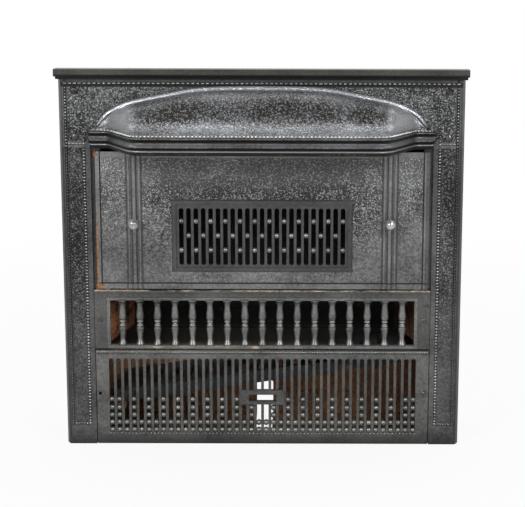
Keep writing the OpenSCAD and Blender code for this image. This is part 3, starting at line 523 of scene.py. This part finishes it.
# blackened steel: almost black, with a soft gleam on its domes
bolt_steel = turned_steel("blackened_bolt_steel", "#2b2624", "#6a6661", (0.3, 0.55))
dress(bolt_steel, "frieze_bolts")

# ---------------------------------------------------------------- cap moulding
# A smooth iron moulding along the top, with a rounded underside over a small cove. It is
# held by four bolts from behind, and is left rougher and plainer than the panels below it.
cap_z0 = 0.701


def cap_shadow(tree, at):
    """Painted shade under the rounded edge."""
    return within(tree, at["z"], -beyond, cap_z0 + 0.0035, 0.0012)


# smooth iron under thin polish: near black, with hardly a sheen
cap_iron = cast_iron("graphite_polished_cast_iron_cap", "#1b1b19", "#55534d",
                     roughness=(0.42, 0.6), metallic=0.5, shaded=cap_shadow)
dress(cap_iron, "cap_moulding")
dress(bolt_steel, "cap_bolts")

# ---------------------------------------------------------------- hood
# One thin iron casting that throws the smoke back: it swells out from a low arch on the
# frieze and flares to a moulded lip. Bolted on from behind, pebbled above its lip.
hood_crown_z = 0.6816
hood_end_x = 0.309
hood_wall = 0.006
hood_bed = 0.0003       # it stands this far off the frieze's face
edge_over = 0.0024      # its root covers the arch's edge by this much
edge_out = 0.0012       # where its rolled edge starts
roll_height = 0.02      # the rolled edge dies out where the hood is lower than this
lip_end_y, lip_mid_y = 0.007, 0.117
lip_bend_r = 0.022
lip_turn = math.radians(64)
lip_end_run = 0.017
# share of the way to the hood's end, and share of its height, along its upper edge
crease_steps = [(0, 1), (0.18, 0.9975), (0.324, 0.98), (0.41, 0.954), (0.437, 0.936),
                (0.518, 0.872), (0.6, 0.808), (0.686, 0.744), (0.735, 0.706), (0.78, 0.662),
                (0.822, 0.611), (0.861, 0.547), (0.893, 0.483), (0.919, 0.413),
                (0.942, 0.331), (0.961, 0.235), (0.981, 0.127), (1, 0.04)]


def crease_z(x):
    """Height of the hood's upper edge on the frieze."""
    t = min(1, abs(x) / hood_end_x)
    for (a, u), (b, v) in zip(crease_steps, crease_steps[1:]):
        if t <= b:
            return hood_foot_z + (hood_crown_z - hood_foot_z) * (u + (v - u) * (t - a) / (b - a))


def lip_plan():
    """The lip from above, from the right end to the left: two bends with a straight between."""
    bends = [k * lip_turn / 3 for k in range(4)]
    outer = hood_end_x - lip_end_run
    inner = (outer - 2 * lip_bend_r * math.sin(lip_turn)
             - (lip_mid_y - lip_end_y - 2 * lip_bend_r * (1 - math.cos(lip_turn)))
             / math.tan(lip_turn))
    side = [(hood_end_x, -lip_end_y)]
    side += [(outer - lip_bend_r * math.sin(a), -lip_end_y - lip_bend_r * (1 - math.cos(a)))
             for a in bends]
    side += [((outer + inner) / 2, -(lip_end_y + lip_mid_y) / 2)]
    side += [(inner + lip_bend_r * math.sin(a), -lip_mid_y + lip_bend_r * (1 - math.cos(a)))
             for a in bends[::-1]]
    side += [(inner * f, -lip_mid_y) for f in (0.89, 0.795, 0.69, 0.58, 0.432, 0.24, 0)]
    return [Vector((x, y, 0)) for x, y in side + [(-x, y) for x, y in side[-2::-1]]]


# share of the way to the hood's end at each station, for its upper edge
crease_x = [1, 0.981, 0.961, 0.942, 0.919, 0.868, 0.815, 0.786, 0.757, 0.722, 0.67, 0.6, 0.518,
            0.437, 0.324, 0.18, 0]
crease_x = [v * hood_end_x for v in crease_x + [-v for v in crease_x[-2::-1]]]
lip_path = lip_plan()
stations = range(len(crease_x))
# share of the way out, and share of the rise, down the hood's face
face_curve = list(zip([0.11, 0.2, 0.285, 0.355, 0.405, 0.43, 0.455, 0.495, 0.56, 0.655, 0.78, 0.9],
                      [0.945, 0.92, 0.875, 0.8, 0.7, 0.59, 0.45, 0.32, 0.215, 0.125, 0.055, 0.015]))
# the points of that face which the inside follows, from the lip back up
inside_points = (10, 8, 7, 6, 5, 4, 3, 2, 0)
# rolled upper edge in millimetres: distance out, and height above the arch's edge
roll_curve = [(1.6, 3.6), (4.8, 2.4), (6.8, -0.6), (7, -4)]
# lip moulding in millimetres: distance out, and height below its top edge
lip_curve = [(0, 0), (3.4, -1.4), (6.6, -0.4), (8.2, 2), (7, 4.6), (4, 5.6), (3.2, 8.6),
             (4.6, 11.8), (7.6, 14.6), (9, 16.4), (8.2, 18.6), (4.6, 20.4), (5, 21.8), (8, 22.8),
             (8.2, 25), (5.2, 27.4), (4.4, 32), (-1, 32), (-1, 9)]


def inward(i):
    """Direction square to the lip, in plan."""
    if i in (0, stations[-1]):
        return Vector((0, 1, 0))
    t = (lip_path[i + 1] - lip_path[i - 1]).normalized()
    return Vector((t.y, -t.x, 0))


def over(i):
    """Direction out of the arch, in the frieze's plane."""
    if i in (0, stations[-1]):
        return Vector((0, 0, 1))
    a, b = crease_x[i - 1], crease_x[i + 1]
    t = Vector((b - a, 0, crease_z(b) - crease_z(a))).normalized()
    return Vector((t.z, 0, -t.x))


def hood_section(i):
    """Points round the hood's wall at one station, from the frieze out, down and back in."""
    root = Vector((crease_x[i], 0, crease_z(crease_x[i])))
    lip = lip_path[i] + Vector((0, 0, hood_foot_z))

    def face(t, w):
        return Vector((root.x + t * (lip.x - root.x), t * lip.y,
                       hood_foot_z + (root.z - hood_foot_z) * w))

    bed = Vector((0, -hood_bed, 0))
    roll = min(1, (root.z - hood_foot_z) / roll_height)
    ring = [root + over(i) * edge_over + bed]
    ring += [root + (over(i) * up + Vector((0, -out, 0))) / 1000 * roll - Vector((0, edge_out, 0))
             for out, up in roll_curve]
    ring += [face(t, w) for t, w in face_curve]
    ring += [lip - inward(i) * out / 1000 - Vector((0, 0, down / 1000)) for out, down in lip_curve]
    ring += [face(*face_curve[k]) + inward(i) * hood_wall - Vector((0, 0, hood_wall * 0.8))
             for k in inside_points]
    ring.append(root - over(i) * hood_wall + bed)
    return [Vector((p.x, min(p.y, -hood_bed) + front_y, p.z)) for p in ring]


shape = bmesh.new()
end_run = Vector((0.011, 0, 0))   # the lip runs on past the last station at each end
rings = [hood_section(i) for i in stations]
rings = [[p + end_run for p in rings[0]]] + rings + [[p - end_run for p in rings[-1]]]
rings = [[shape.verts.new(p) for p in ring] for ring in rings]
count = len(rings[0])
for a, b in zip(rings, rings[1:]):
    for k in range(count):
        shape.faces.new((a[k], a[(k + 1) % count], b[(k + 1) % count], b[k]))
shape.faces.new(rings[0][::-1])
shape.faces.new(rings[-1])
bmesh.ops.recalc_face_normals(shape, faces=shape.faces)
hood_mesh = bpy.data.meshes.new("swept_hood")
shape.to_mesh(hood_mesh)
shape.free()
hood = bpy.data.objects.new("swept_hood", hood_mesh)
bpy.context.scene.collection.objects.link(hood)
rounding = hood.modifiers.new("cast_rounding", "SUBSURF")
rounding.levels = rounding.render_levels = 2
hood_mesh.shade_smooth()


def hood_field(tree, at):
    """Pebbles above the lip, fewer where the shoulders are worn."""
    up = within(tree, at["z"], hood_foot_z + 0.002, beyond, 0.0015)
    shoulder = within(tree, at["side"], 0.215, 0.30, 0.02)
    worn = add(tree, "ShaderNodeMapRange", {"Value": shoulder, "To Min": 1.0, "To Max": 0.65})
    return joined(tree, "MULTIPLY", up, worn)


def hood_front_painted_dark(tree, at):
    """The upright part of the hood's front, where a dark reflection is painted."""
    out = within(tree, at["y"], -beyond, front_y - 0.03, 0.01)
    up = within(tree, at["z"], hood_foot_z + 0.024, beyond, 0.01)
    middle = within(tree, at["side"], -beyond, 0.236, 0.016)
    return joined(tree, "MULTIPLY", out, up, middle)


def hood_shine(tree, at):
    """Painted highlights on the upper edge, the two shoulders and the lip's lowest ledge."""
    crest = joined(tree, "MULTIPLY", within(tree, at["y"], front_y - 0.012, beyond, 0.005),
                   within(tree, at["z"], hood_foot_z + 0.012, beyond, 0.006))
    shoulder = joined(tree, "MULTIPLY", within(tree, at["side"], 0.238, 0.283, 0.014),
                      within(tree, at["z"], hood_foot_z + 0.005, beyond, 0.004))
    ledge = within(tree, at["z"], hood_foot_z - 0.0248, hood_foot_z - 0.0222, 0.0005)
    return joined(tree, "MULTIPLY", joined(tree, "MAXIMUM", crest, shoulder, ledge), 0.85)


def lip_painted_shade(tree, at):
    """Painted shade in the hollows of the lip and behind its beads, the whole lip darker, and a
    painted dark reflection on the upright front.
    """
    upper = within(tree, at["z"], hood_foot_z - 0.0095, hood_foot_z - 0.0046, 0.001)
    lower = within(tree, at["z"], hood_foot_z - 0.0222, hood_foot_z - 0.0192, 0.0007)
    behind = within(tree, at["z"], hood_foot_z - 0.0006, hood_foot_z + 0.0006, 0.0003)
    front = joined(tree, "MULTIPLY", hood_front_painted_dark(tree, at), 0.5)
    lip = within(tree, at["z"], -beyond, hood_foot_z - 0.001, 0.0008)
    lip = joined(tree, "MULTIPLY", lip, 0.3)
    return joined(tree, "MAXIMUM", upper, lower, behind, front, lip)


# polished iron: a painted dark reflection in front, and bright where it curves to the light, with
# painted highlights there
hood_iron = cast_iron("graphite_polished_cast_iron_hood", "#23201d", "#a8a9ab", wear_and_top_light=0.4,
                      polish=0.2, pebbles=hood_field, pebble_height=0.00045, shine=hood_shine,
                      shaded=lip_painted_shade)
hood_mesh.materials.append(hood_iron)
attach(hood, "frame")
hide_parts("hood")

bead_seat = Vector((0, front_y, hood_foot_z + 0.002))
bead_path = [lip_path[i] - inward(i) * 0.0044 + bead_seat for i in stations]
grown("hood_lip_beads", lines("hood_lip_line", [bead_path]), bead_tree,
      {"Finish": bright_bead, "Pitch": 0.007, "Length": 0.0027, "Width": 0.002,
       "Height": 0.0022, "Wear": 17})
dress(bolt_steel, "hood_bolts")

# ---------------------------------------------------------------- cover
# A lift-off iron plate that closes the fire opening. Raised border, three reeds at each
# side, and a grille whose slots are bridged by cast balls. Rust creeps in at its left edge.
cover_x = 0.311         # half its width
cover_z0, cover_z1 = 0.3045, 0.563
border = 0.0115         # width of its raised border
strip_x = 0.238         # middle of the three reeds
strip_half = 0.0135     # half their width
groove_half = 0.0015    # half a dark groove beside a reed
grille_half, grille_z0, grille_z1 = 0.167, 0.3386, 0.4716


def round_grille(tree, at, spare, soft):
    """The grille with its frame, and a little more all round."""
    return joined(tree, "MULTIPLY", within(tree, at["side"], -beyond, grille_half + spare, soft),
                  within(tree, at["z"], grille_z0 - spare, grille_z1 + spare, soft))


def cover_field(tree, at):
    """The pebbled fields: inside the border, outside the reeds and the grille's frame."""
    inside = within(tree, at["side"], -beyond, cover_x - border, 0.0008)
    up = within(tree, at["z"], cover_z0 + border, cover_z1 - border, 0.0008)
    reeds = within(tree, at["side"], strip_x - strip_half, strip_x + strip_half, 0.0008)
    grille = round_grille(tree, at, 0.001, 0.0008)
    plain = opposite(tree, joined(tree, "MAXIMUM", reeds, grille))
    # the lower part and the sides are rubbed flatter by hands and brushes than the top
    wear_and_top_light = add(tree, "ShaderNodeMapRange", {"Value": at["z"], "From Min": 0.36,
                                              "From Max": 0.49, "To Min": 0.35, "To Max": 1.35})
    sides = add(tree, "ShaderNodeMapRange", {"Value": at["side"], "From Min": 0.18,
                                             "From Max": 0.25, "To Min": 1.0, "To Max": 0.6})
    return joined(tree, "MULTIPLY", inside, up, plain, wear_and_top_light, sides, on_front(tree, at))


def cover_shadow(tree, at):
    """Painted shade in the corners beside the reeds, inside the border and round the grille's
    frame, a painted shadow in the gap along the left edge, and painted shade along the right edge.
    """
    grooves = [within(tree, at["side"], strip_x + middle - groove_half,
                      strip_x + middle + groove_half, 0.001)
               for middle in (-0.014, -0.005, 0.005, 0.014)]
    reeds = joined(tree, "MULTIPLY", joined(tree, "MAXIMUM", *grooves), 0.72)
    grille = joined(tree, "MULTIPLY", round_grille(tree, at, 0.002, 0.001), 0.72)
    inner_edge = joined(tree, "MAXIMUM",
                        within(tree, at["z"], cover_z0 + 0.0095, cover_z0 + 0.012, 0.0005),
                        within(tree, at["side"], cover_x - 0.012, cover_x - 0.0095, 0.0005))
    # painted shadow in the gap along the left edge, where the cover has slid off its rebate
    gap_painted_shade = within(tree, at["x"], -beyond, -cover_x + 0.0022, 0.0004)
    # painted shade along the right edge
    right = joined(tree, "MULTIPLY", within(tree, at["x"], cover_x - 0.0065, beyond, 0.001), 0.5)
    dark = joined(tree, "MAXIMUM", reeds, grille, inner_edge, gap_painted_shade, right)
    return joined(tree, "MULTIPLY", dark, on_front(tree, at))


def cover_rust(tree, at):
    """Rust in a thin line up the left edge, and in its two corners."""
    edge = joined(tree, "MULTIPLY",
                  within(tree, at["x"], -cover_x + 0.0018, -cover_x + 0.0046, 0.001),
                  within(tree, at["z"], 0, 0.44, 0.06))
    corner = joined(tree, "MULTIPLY", within(tree, at["x"], -beyond, -cover_x + 0.015, 0.006),
                    within(tree, at["z"], 0, cover_z0 + 0.0075, 0.002))
    top = joined(tree, "MULTIPLY", within(tree, at["x"], -beyond, -cover_x + 0.006, 0.002),
                 within(tree, at["z"], cover_z1 - 0.009, beyond, 0.003))
    return joined(tree, "MAXIMUM", edge, corner, top)


def cover_shine(tree, at):
    """Painted light on the upper part, above the grille and under the hood."""
    return joined(tree, "MULTIPLY", within(tree, at["z"], 0.5, beyond, 0.02), 0.22)


# iron handled every day: paler than the frame, its pebbles worn low, rust at one edge
cover_iron = cast_iron("graphite_polished_cast_iron_cover", "#343432", "#a3a3a0",
                       pebbles=cover_field, shine=cover_shine, shaded=cover_shadow,
                       rust_and_tan_highlight=("#3a2418", "#a56b3e", 0.68, cover_rust))
dress(cover_iron, "cover_plate")

ball_tree, given = new_group("cast_balls_in_slots", "Balls", (
    ("Places", "NodeSocketGeometry", None), ("Radius", "NodeSocketFloat", 0.0049),
    ("Height", "NodeSocketFloat", 0.0038), ("Wear", "NodeSocketInt", 3),
    ("Finish", "NodeSocketMaterial", None)))
size = add(ball_tree, "ShaderNodeCombineXYZ", {0: given["Radius"], 1: given["Height"],
                                               2: given["Radius"]})
cast_on(ball_tree, given, given["Places"], size, 0.93, 1.04, segments=12, rings=8)


def dots(name, places):
    """A guide mesh of single points."""
    mesh = bpy.data.meshes.new(name)
    mesh.from_pydata(places, [], [])
    return mesh


grille_slots = 23
grille_span = 0.3016
slot_foot, slot_head = grille_z0 + 0.0109, grille_z1 - 0.014
ball_y = front_y + 0.0003
# height of the balls in a slot, as shares of it: two in one slot, one in the next
slot_shares = ((0.26, 0.768), (0.516,))
cover_balls = []
for i in range(grille_slots):
    x = -grille_span / 2 + i * grille_span / (grille_slots - 1)
    for share in slot_shares[i % 2]:
        cover_balls.append((x, ball_y, slot_foot + (slot_head - slot_foot) * share))
# balls rubbed smooth: dark domes with one small highlight each, painted lighter on top and darker
# underneath as painted light and shade
bright_ball = cast_iron("rubbed_bright_cast_iron_ball", "#2c2c2b", "#999995",
                        roughness=(0.3, 0.42), wear_and_top_light=0.45, sand=0.00003)
grown("cover_slot_balls", dots("cover_ball_places", cover_balls), ball_tree,
      {"Finish": bright_ball}, "cover")

# ---------------------------------------------------------------- knobs
# Two turned steel knobs, polished by the hands that lift the cover. Each is held by a nut
# on its stud behind the cover.
# bare polished steel: bright, with a sharp reflection and faint stains
knob_steel = turned_steel("polished_turned_steel_knob", "#84827f", "#c8c6c2", (0.15, 0.27),
                          metallic=0.62)
dress(knob_steel, "knob_left", "knob_right")
dress(bolt_steel, "knob_nuts")

# ---------------------------------------------------------------- gallery
# Seventeen turned balusters between two rails, one iron casting, with painted highlights on
# its middle rings and a painted tan highlight along its top edge.
gallery_z1 = 0.3012
baluster_foot, baluster_head = 0.1955, 0.2819
balusters_x = 0.272     # outer side of the last baluster
gallery_end_x = 0.292   # inner side of the end posts


def gallery_painted_edge_light(tree, at):
    """Painted tan highlight along the top edge, and three spots of it on the lower rail."""
    top = within(tree, at["z"], gallery_z1 - 0.0008, beyond, 0.0004)
    spots = joined(tree, "MAXIMUM", within(tree, at["x"], -0.206, -0.19, 0.004),
                   within(tree, at["x"], -0.02, -0.006, 0.004),
                   within(tree, at["x"], 0.12, 0.128, 0.003))
    rail = joined(tree, "MULTIPLY", within(tree, at["z"], 0.1885, 0.1935, 0.0008), spots)
    return joined(tree, "MAXIMUM", top, rail)


def gallery_shine(tree, at):
    """Painted highlights on the balusters' middle rings."""
    rings = joined(tree, "MAXIMUM", within(tree, at["z"], 0.2322, 0.2352, 0.0005),
                   within(tree, at["z"], 0.2405, 0.2438, 0.0005))
    return joined(tree, "MULTIPLY", rings, within(tree, at["side"], -beyond, balusters_x, 0.001))


def gallery_shadow(tree, at):
    """The flat rails stay darker than the balusters."""
    rails = joined(tree, "MAXIMUM", within(tree, at["z"], baluster_head + 0.005, beyond, 0.0008),
                   within(tree, at["side"], gallery_end_x, beyond, 0.0008))
    rails = joined(tree, "MULTIPLY", rails, 0.5)
    # painted shade on their bell feet, which look up at the light
    feet = within(tree, at["z"], baluster_foot - 0.001, baluster_foot + 0.0085, 0.0008)
    feet = joined(tree, "MULTIPLY", feet,
                  within(tree, at["side"], -beyond, balusters_x, 0.001), 0.3)
    return joined(tree, "MAXIMUM", rails, feet)


# brushed iron: the round balusters gleam down their fronts, and the flat rails stay dark
gallery_iron = cast_iron("brushed_cast_iron_gallery", "#2a2a28", "#a3a29e",
                         roughness=(0.26, 0.46), wear_and_top_light=0.35, sand=0.00005,
                         shine=gallery_shine, shaded=gallery_shadow,
                         rust_and_tan_highlight=("#6b5a48", "#cdbfa8", 0.62, gallery_painted_edge_light))
dress(gallery_iron, "baluster_gallery")
dress(bolt_steel, "gallery_screws")

# ---------------------------------------------------------------- ash front
# A flat pierced iron plate with balls in its slots, a beaded line along its top and a
# window for the shaker. Held by a screw at each end, of which the right one is left.
ash_slots = 42
ash_span = 0.574
ash_slot_step = ash_span / (ash_slots - 1)
ash_slot_foot = 0.0236
ball_rows = [0.004, 0.0188, 0.0334, 0.048, 0.0641]
window_slots = 3        # slots on each side of the middle that lose their highest ball
ash_line_x, ash_line_y, ash_line_z = 0.312, front_y - 0.0002, 0.1812
pip_shift, pip_y, pip_z = 0.0035, front_y + 0.0002, 0.0208


def ash_shadow(tree, at):
    """Painted shade under the beaded line and at the foot, darkening towards the floor, and the
    bars between the slots darker.
    """
    line = within(tree, at["z"], ash_line_z - 0.0048, ash_line_z - 0.0018, 0.0005)
    line = joined(tree, "MULTIPLY", line, on_front(tree, at, 0.0012), 0.35)
    low = add(tree, "ShaderNodeMapRange", {"Value": at["z"], "From Min": 0.0, "From Max": 0.038,
                                           "To Min": 0.92, "To Max": 0.0})
    bars = joined(tree, "MULTIPLY", within(tree, at["z"], ash_slot_foot - 0.002, 0.17, 0.002),
                  within(tree, at["side"], -beyond, 0.292, 0.002), 0.22)
    return joined(tree, "MAXIMUM", line, low, bars)


# polish worn thin: an even dark grey with a faint sheen
ash_iron = cast_iron("graphite_polished_cast_iron_ash_front", "#2a2a29", "#8e8d89",
                     roughness=(0.36, 0.54), shaded=ash_shadow)
dress(ash_iron, "ash_front")
dress(bolt_steel, "ash_front_screw")
ash_balls = []
for i in range(ash_slots):
    x = -ash_span / 2 + i * ash_slot_step
    rank = min(i + 1, ash_slots - i)
    rows = ball_rows if rank == 1 or rank % 2 == 0 else ball_rows[:2]
    if rank > ash_slots / 2 - window_slots:
        rows = [row for row in rows if row != ball_rows[-1]]
    ash_balls += [(x, ball_y, ash_slot_foot + row) for row in rows]
grown("ash_front_balls", dots("ash_ball_places", ash_balls), ball_tree,
      {"Finish": bright_ball, "Wear": 5}, "ash_plate")
# a row of tiny pips under the slots, two to each slot
ash_pips = [(-ash_span / 2 - pip_shift + k * ash_slot_step / 2, pip_y, pip_z)
            for k in range(2 * ash_slots)]
grown("ash_front_pips", dots("ash_pip_places", ash_pips), ball_tree,
      {"Finish": bright_bead, "Radius": 0.0012, "Height": 0.0013, "Wear": 23},
      "ash_plate")
ash_run = [(-ash_line_x, ash_line_y, ash_line_z), (ash_line_x, ash_line_y, ash_line_z)]
grown("ash_front_beads", lines("ash_front_line", [ash_run]), bead_tree,
      {"Finish": bright_bead, "Pitch": 0.0046, "Length": 0.0019, "Width": 0.0016,
       "Height": 0.0025, "Wear": 19}, "ash_plate")


# ---------------------------------------------------------------- ash pit
# Base, two sides and a low back of bare iron plate, bolted together. Damp ash has rusted
# them brown and orange.
def inner_faces_painted_light(tree, at):
    """1 on faces turned to the middle or the front, 0.3 on faces turned outward or to the back,
    so that the rusted patches, painted lighter as painted light for the dim inside, lie on the
    inner faces.
    """
    normal = add(tree, "ShaderNodeNewGeometry").outputs["Normal"]
    normal = add(tree, "ShaderNodeSeparateXYZ", {0: normal}).outputs
    sign = add(tree, "ShaderNodeMath", {0: at["x"]}, operation="SIGN")
    out = joined(tree, "MULTIPLY", normal["X"], sign)
    out = joined(tree, "MAXIMUM", out, normal["Y"])
    return add(tree, "ShaderNodeMapRange", {"Value": out, "From Min": 0.2, "From Max": 0.5,
                                            "To Min": 1.0, "To Max": 0.3})


def pit_rust(tree, at):
    """Rust below the level of the coals."""
    low = within(tree, at["z"], -beyond, 0.146, 0.012)
    return joined(tree, "MULTIPLY", low, inner_faces_painted_light(tree, at))


def cheek_rust(tree, at):
    """Rust on the lower half of the cheeks, more on the left one."""
    low = within(tree, at["z"], 0, 0.36, 0.05)
    left = add(tree, "ShaderNodeMapRange", {"Value": at["x"], "From Min": -0.1, "From Max": 0.1,
                                            "To Min": 1.0, "To Max": 0.25})
    return joined(tree, "MULTIPLY", low, inner_faces_painted_light(tree, at), left)


# bare iron that has rusted: matt, in brown and orange scale, painted lighter as painted
# light on the faces turned inward
pit_iron = cast_iron("rusted_cast_iron_ash_pit", "#1d1b1a", "#35302c", roughness=(0.7, 0.9),
                     metallic=0.1, rust_and_tan_highlight=("#6f5540", "#c48f68", 0.74, pit_rust))
dress(pit_iron, "base_plate", "ash_side_left", "ash_side_right", "lower_back")

# ---------------------------------------------------------------- fire chamber
# Two splayed cheeks, a back and a sloping throat plate, cast iron scaled by fire. The
# cheeks are rusty low down, and everything above the coals is black with soot.
# iron scaled by fire: matt, and orange low down, painted lighter as painted light on the
# faces turned inward
cheek_iron = cast_iron("fired_cast_iron_cheek", "#241d19", "#4a382c", roughness=(0.7, 0.9),
                       metallic=0.1, rust_and_tan_highlight=("#84513a", "#e39a6c", 0.62, cheek_rust))
# soot on iron: almost black, with no sheen
soot_iron = cast_iron("sooted_cast_iron", "#0e0e0e", "#262525", roughness=(0.75, 0.92),
                      metallic=0.05, rust_and_tan_highlight=("#2a1a12", "#5c3a24", 0.36, None))
dress(cheek_iron, "fire_cheek_left", "fire_cheek_right")
dress(soot_iron, "fire_back", "throat_plate", "damper_frame", "damper_plate")

# ---------------------------------------------------------------- damper rod and grate
# The damper tilts on a steel rod. The grate is a ribbed iron plate with long slots that
# hangs on a second rod at its right end.
# rolled steel that has dulled: dark grey with a weak gleam
rod_steel = turned_steel("dull_rolled_steel_rod", "#2c2724", "#6d655c", (0.4, 0.6))
dress(rod_steel, "damper_rod", "grate_rod")
# iron scaled by fire and dusted with ash: a matt blue-grey
grate_iron = cast_iron("fire_scaled_cast_iron_grate", "#28292a", "#4e5052",
                       roughness=(0.6, 0.85), metallic=0.2,
                       rust_and_tan_highlight=("#4a3226", "#8f684a", 0.36, None))
dress(grate_iron, "fire_grate")

# ---------------------------------------------------------------- bolts of the chamber
# Hexagon bolts of blackened steel through the chamber's flanges: twelve at the front and
# eight at the back.
dress(bolt_steel, "front_flange_bolts", "back_flange_bolts")
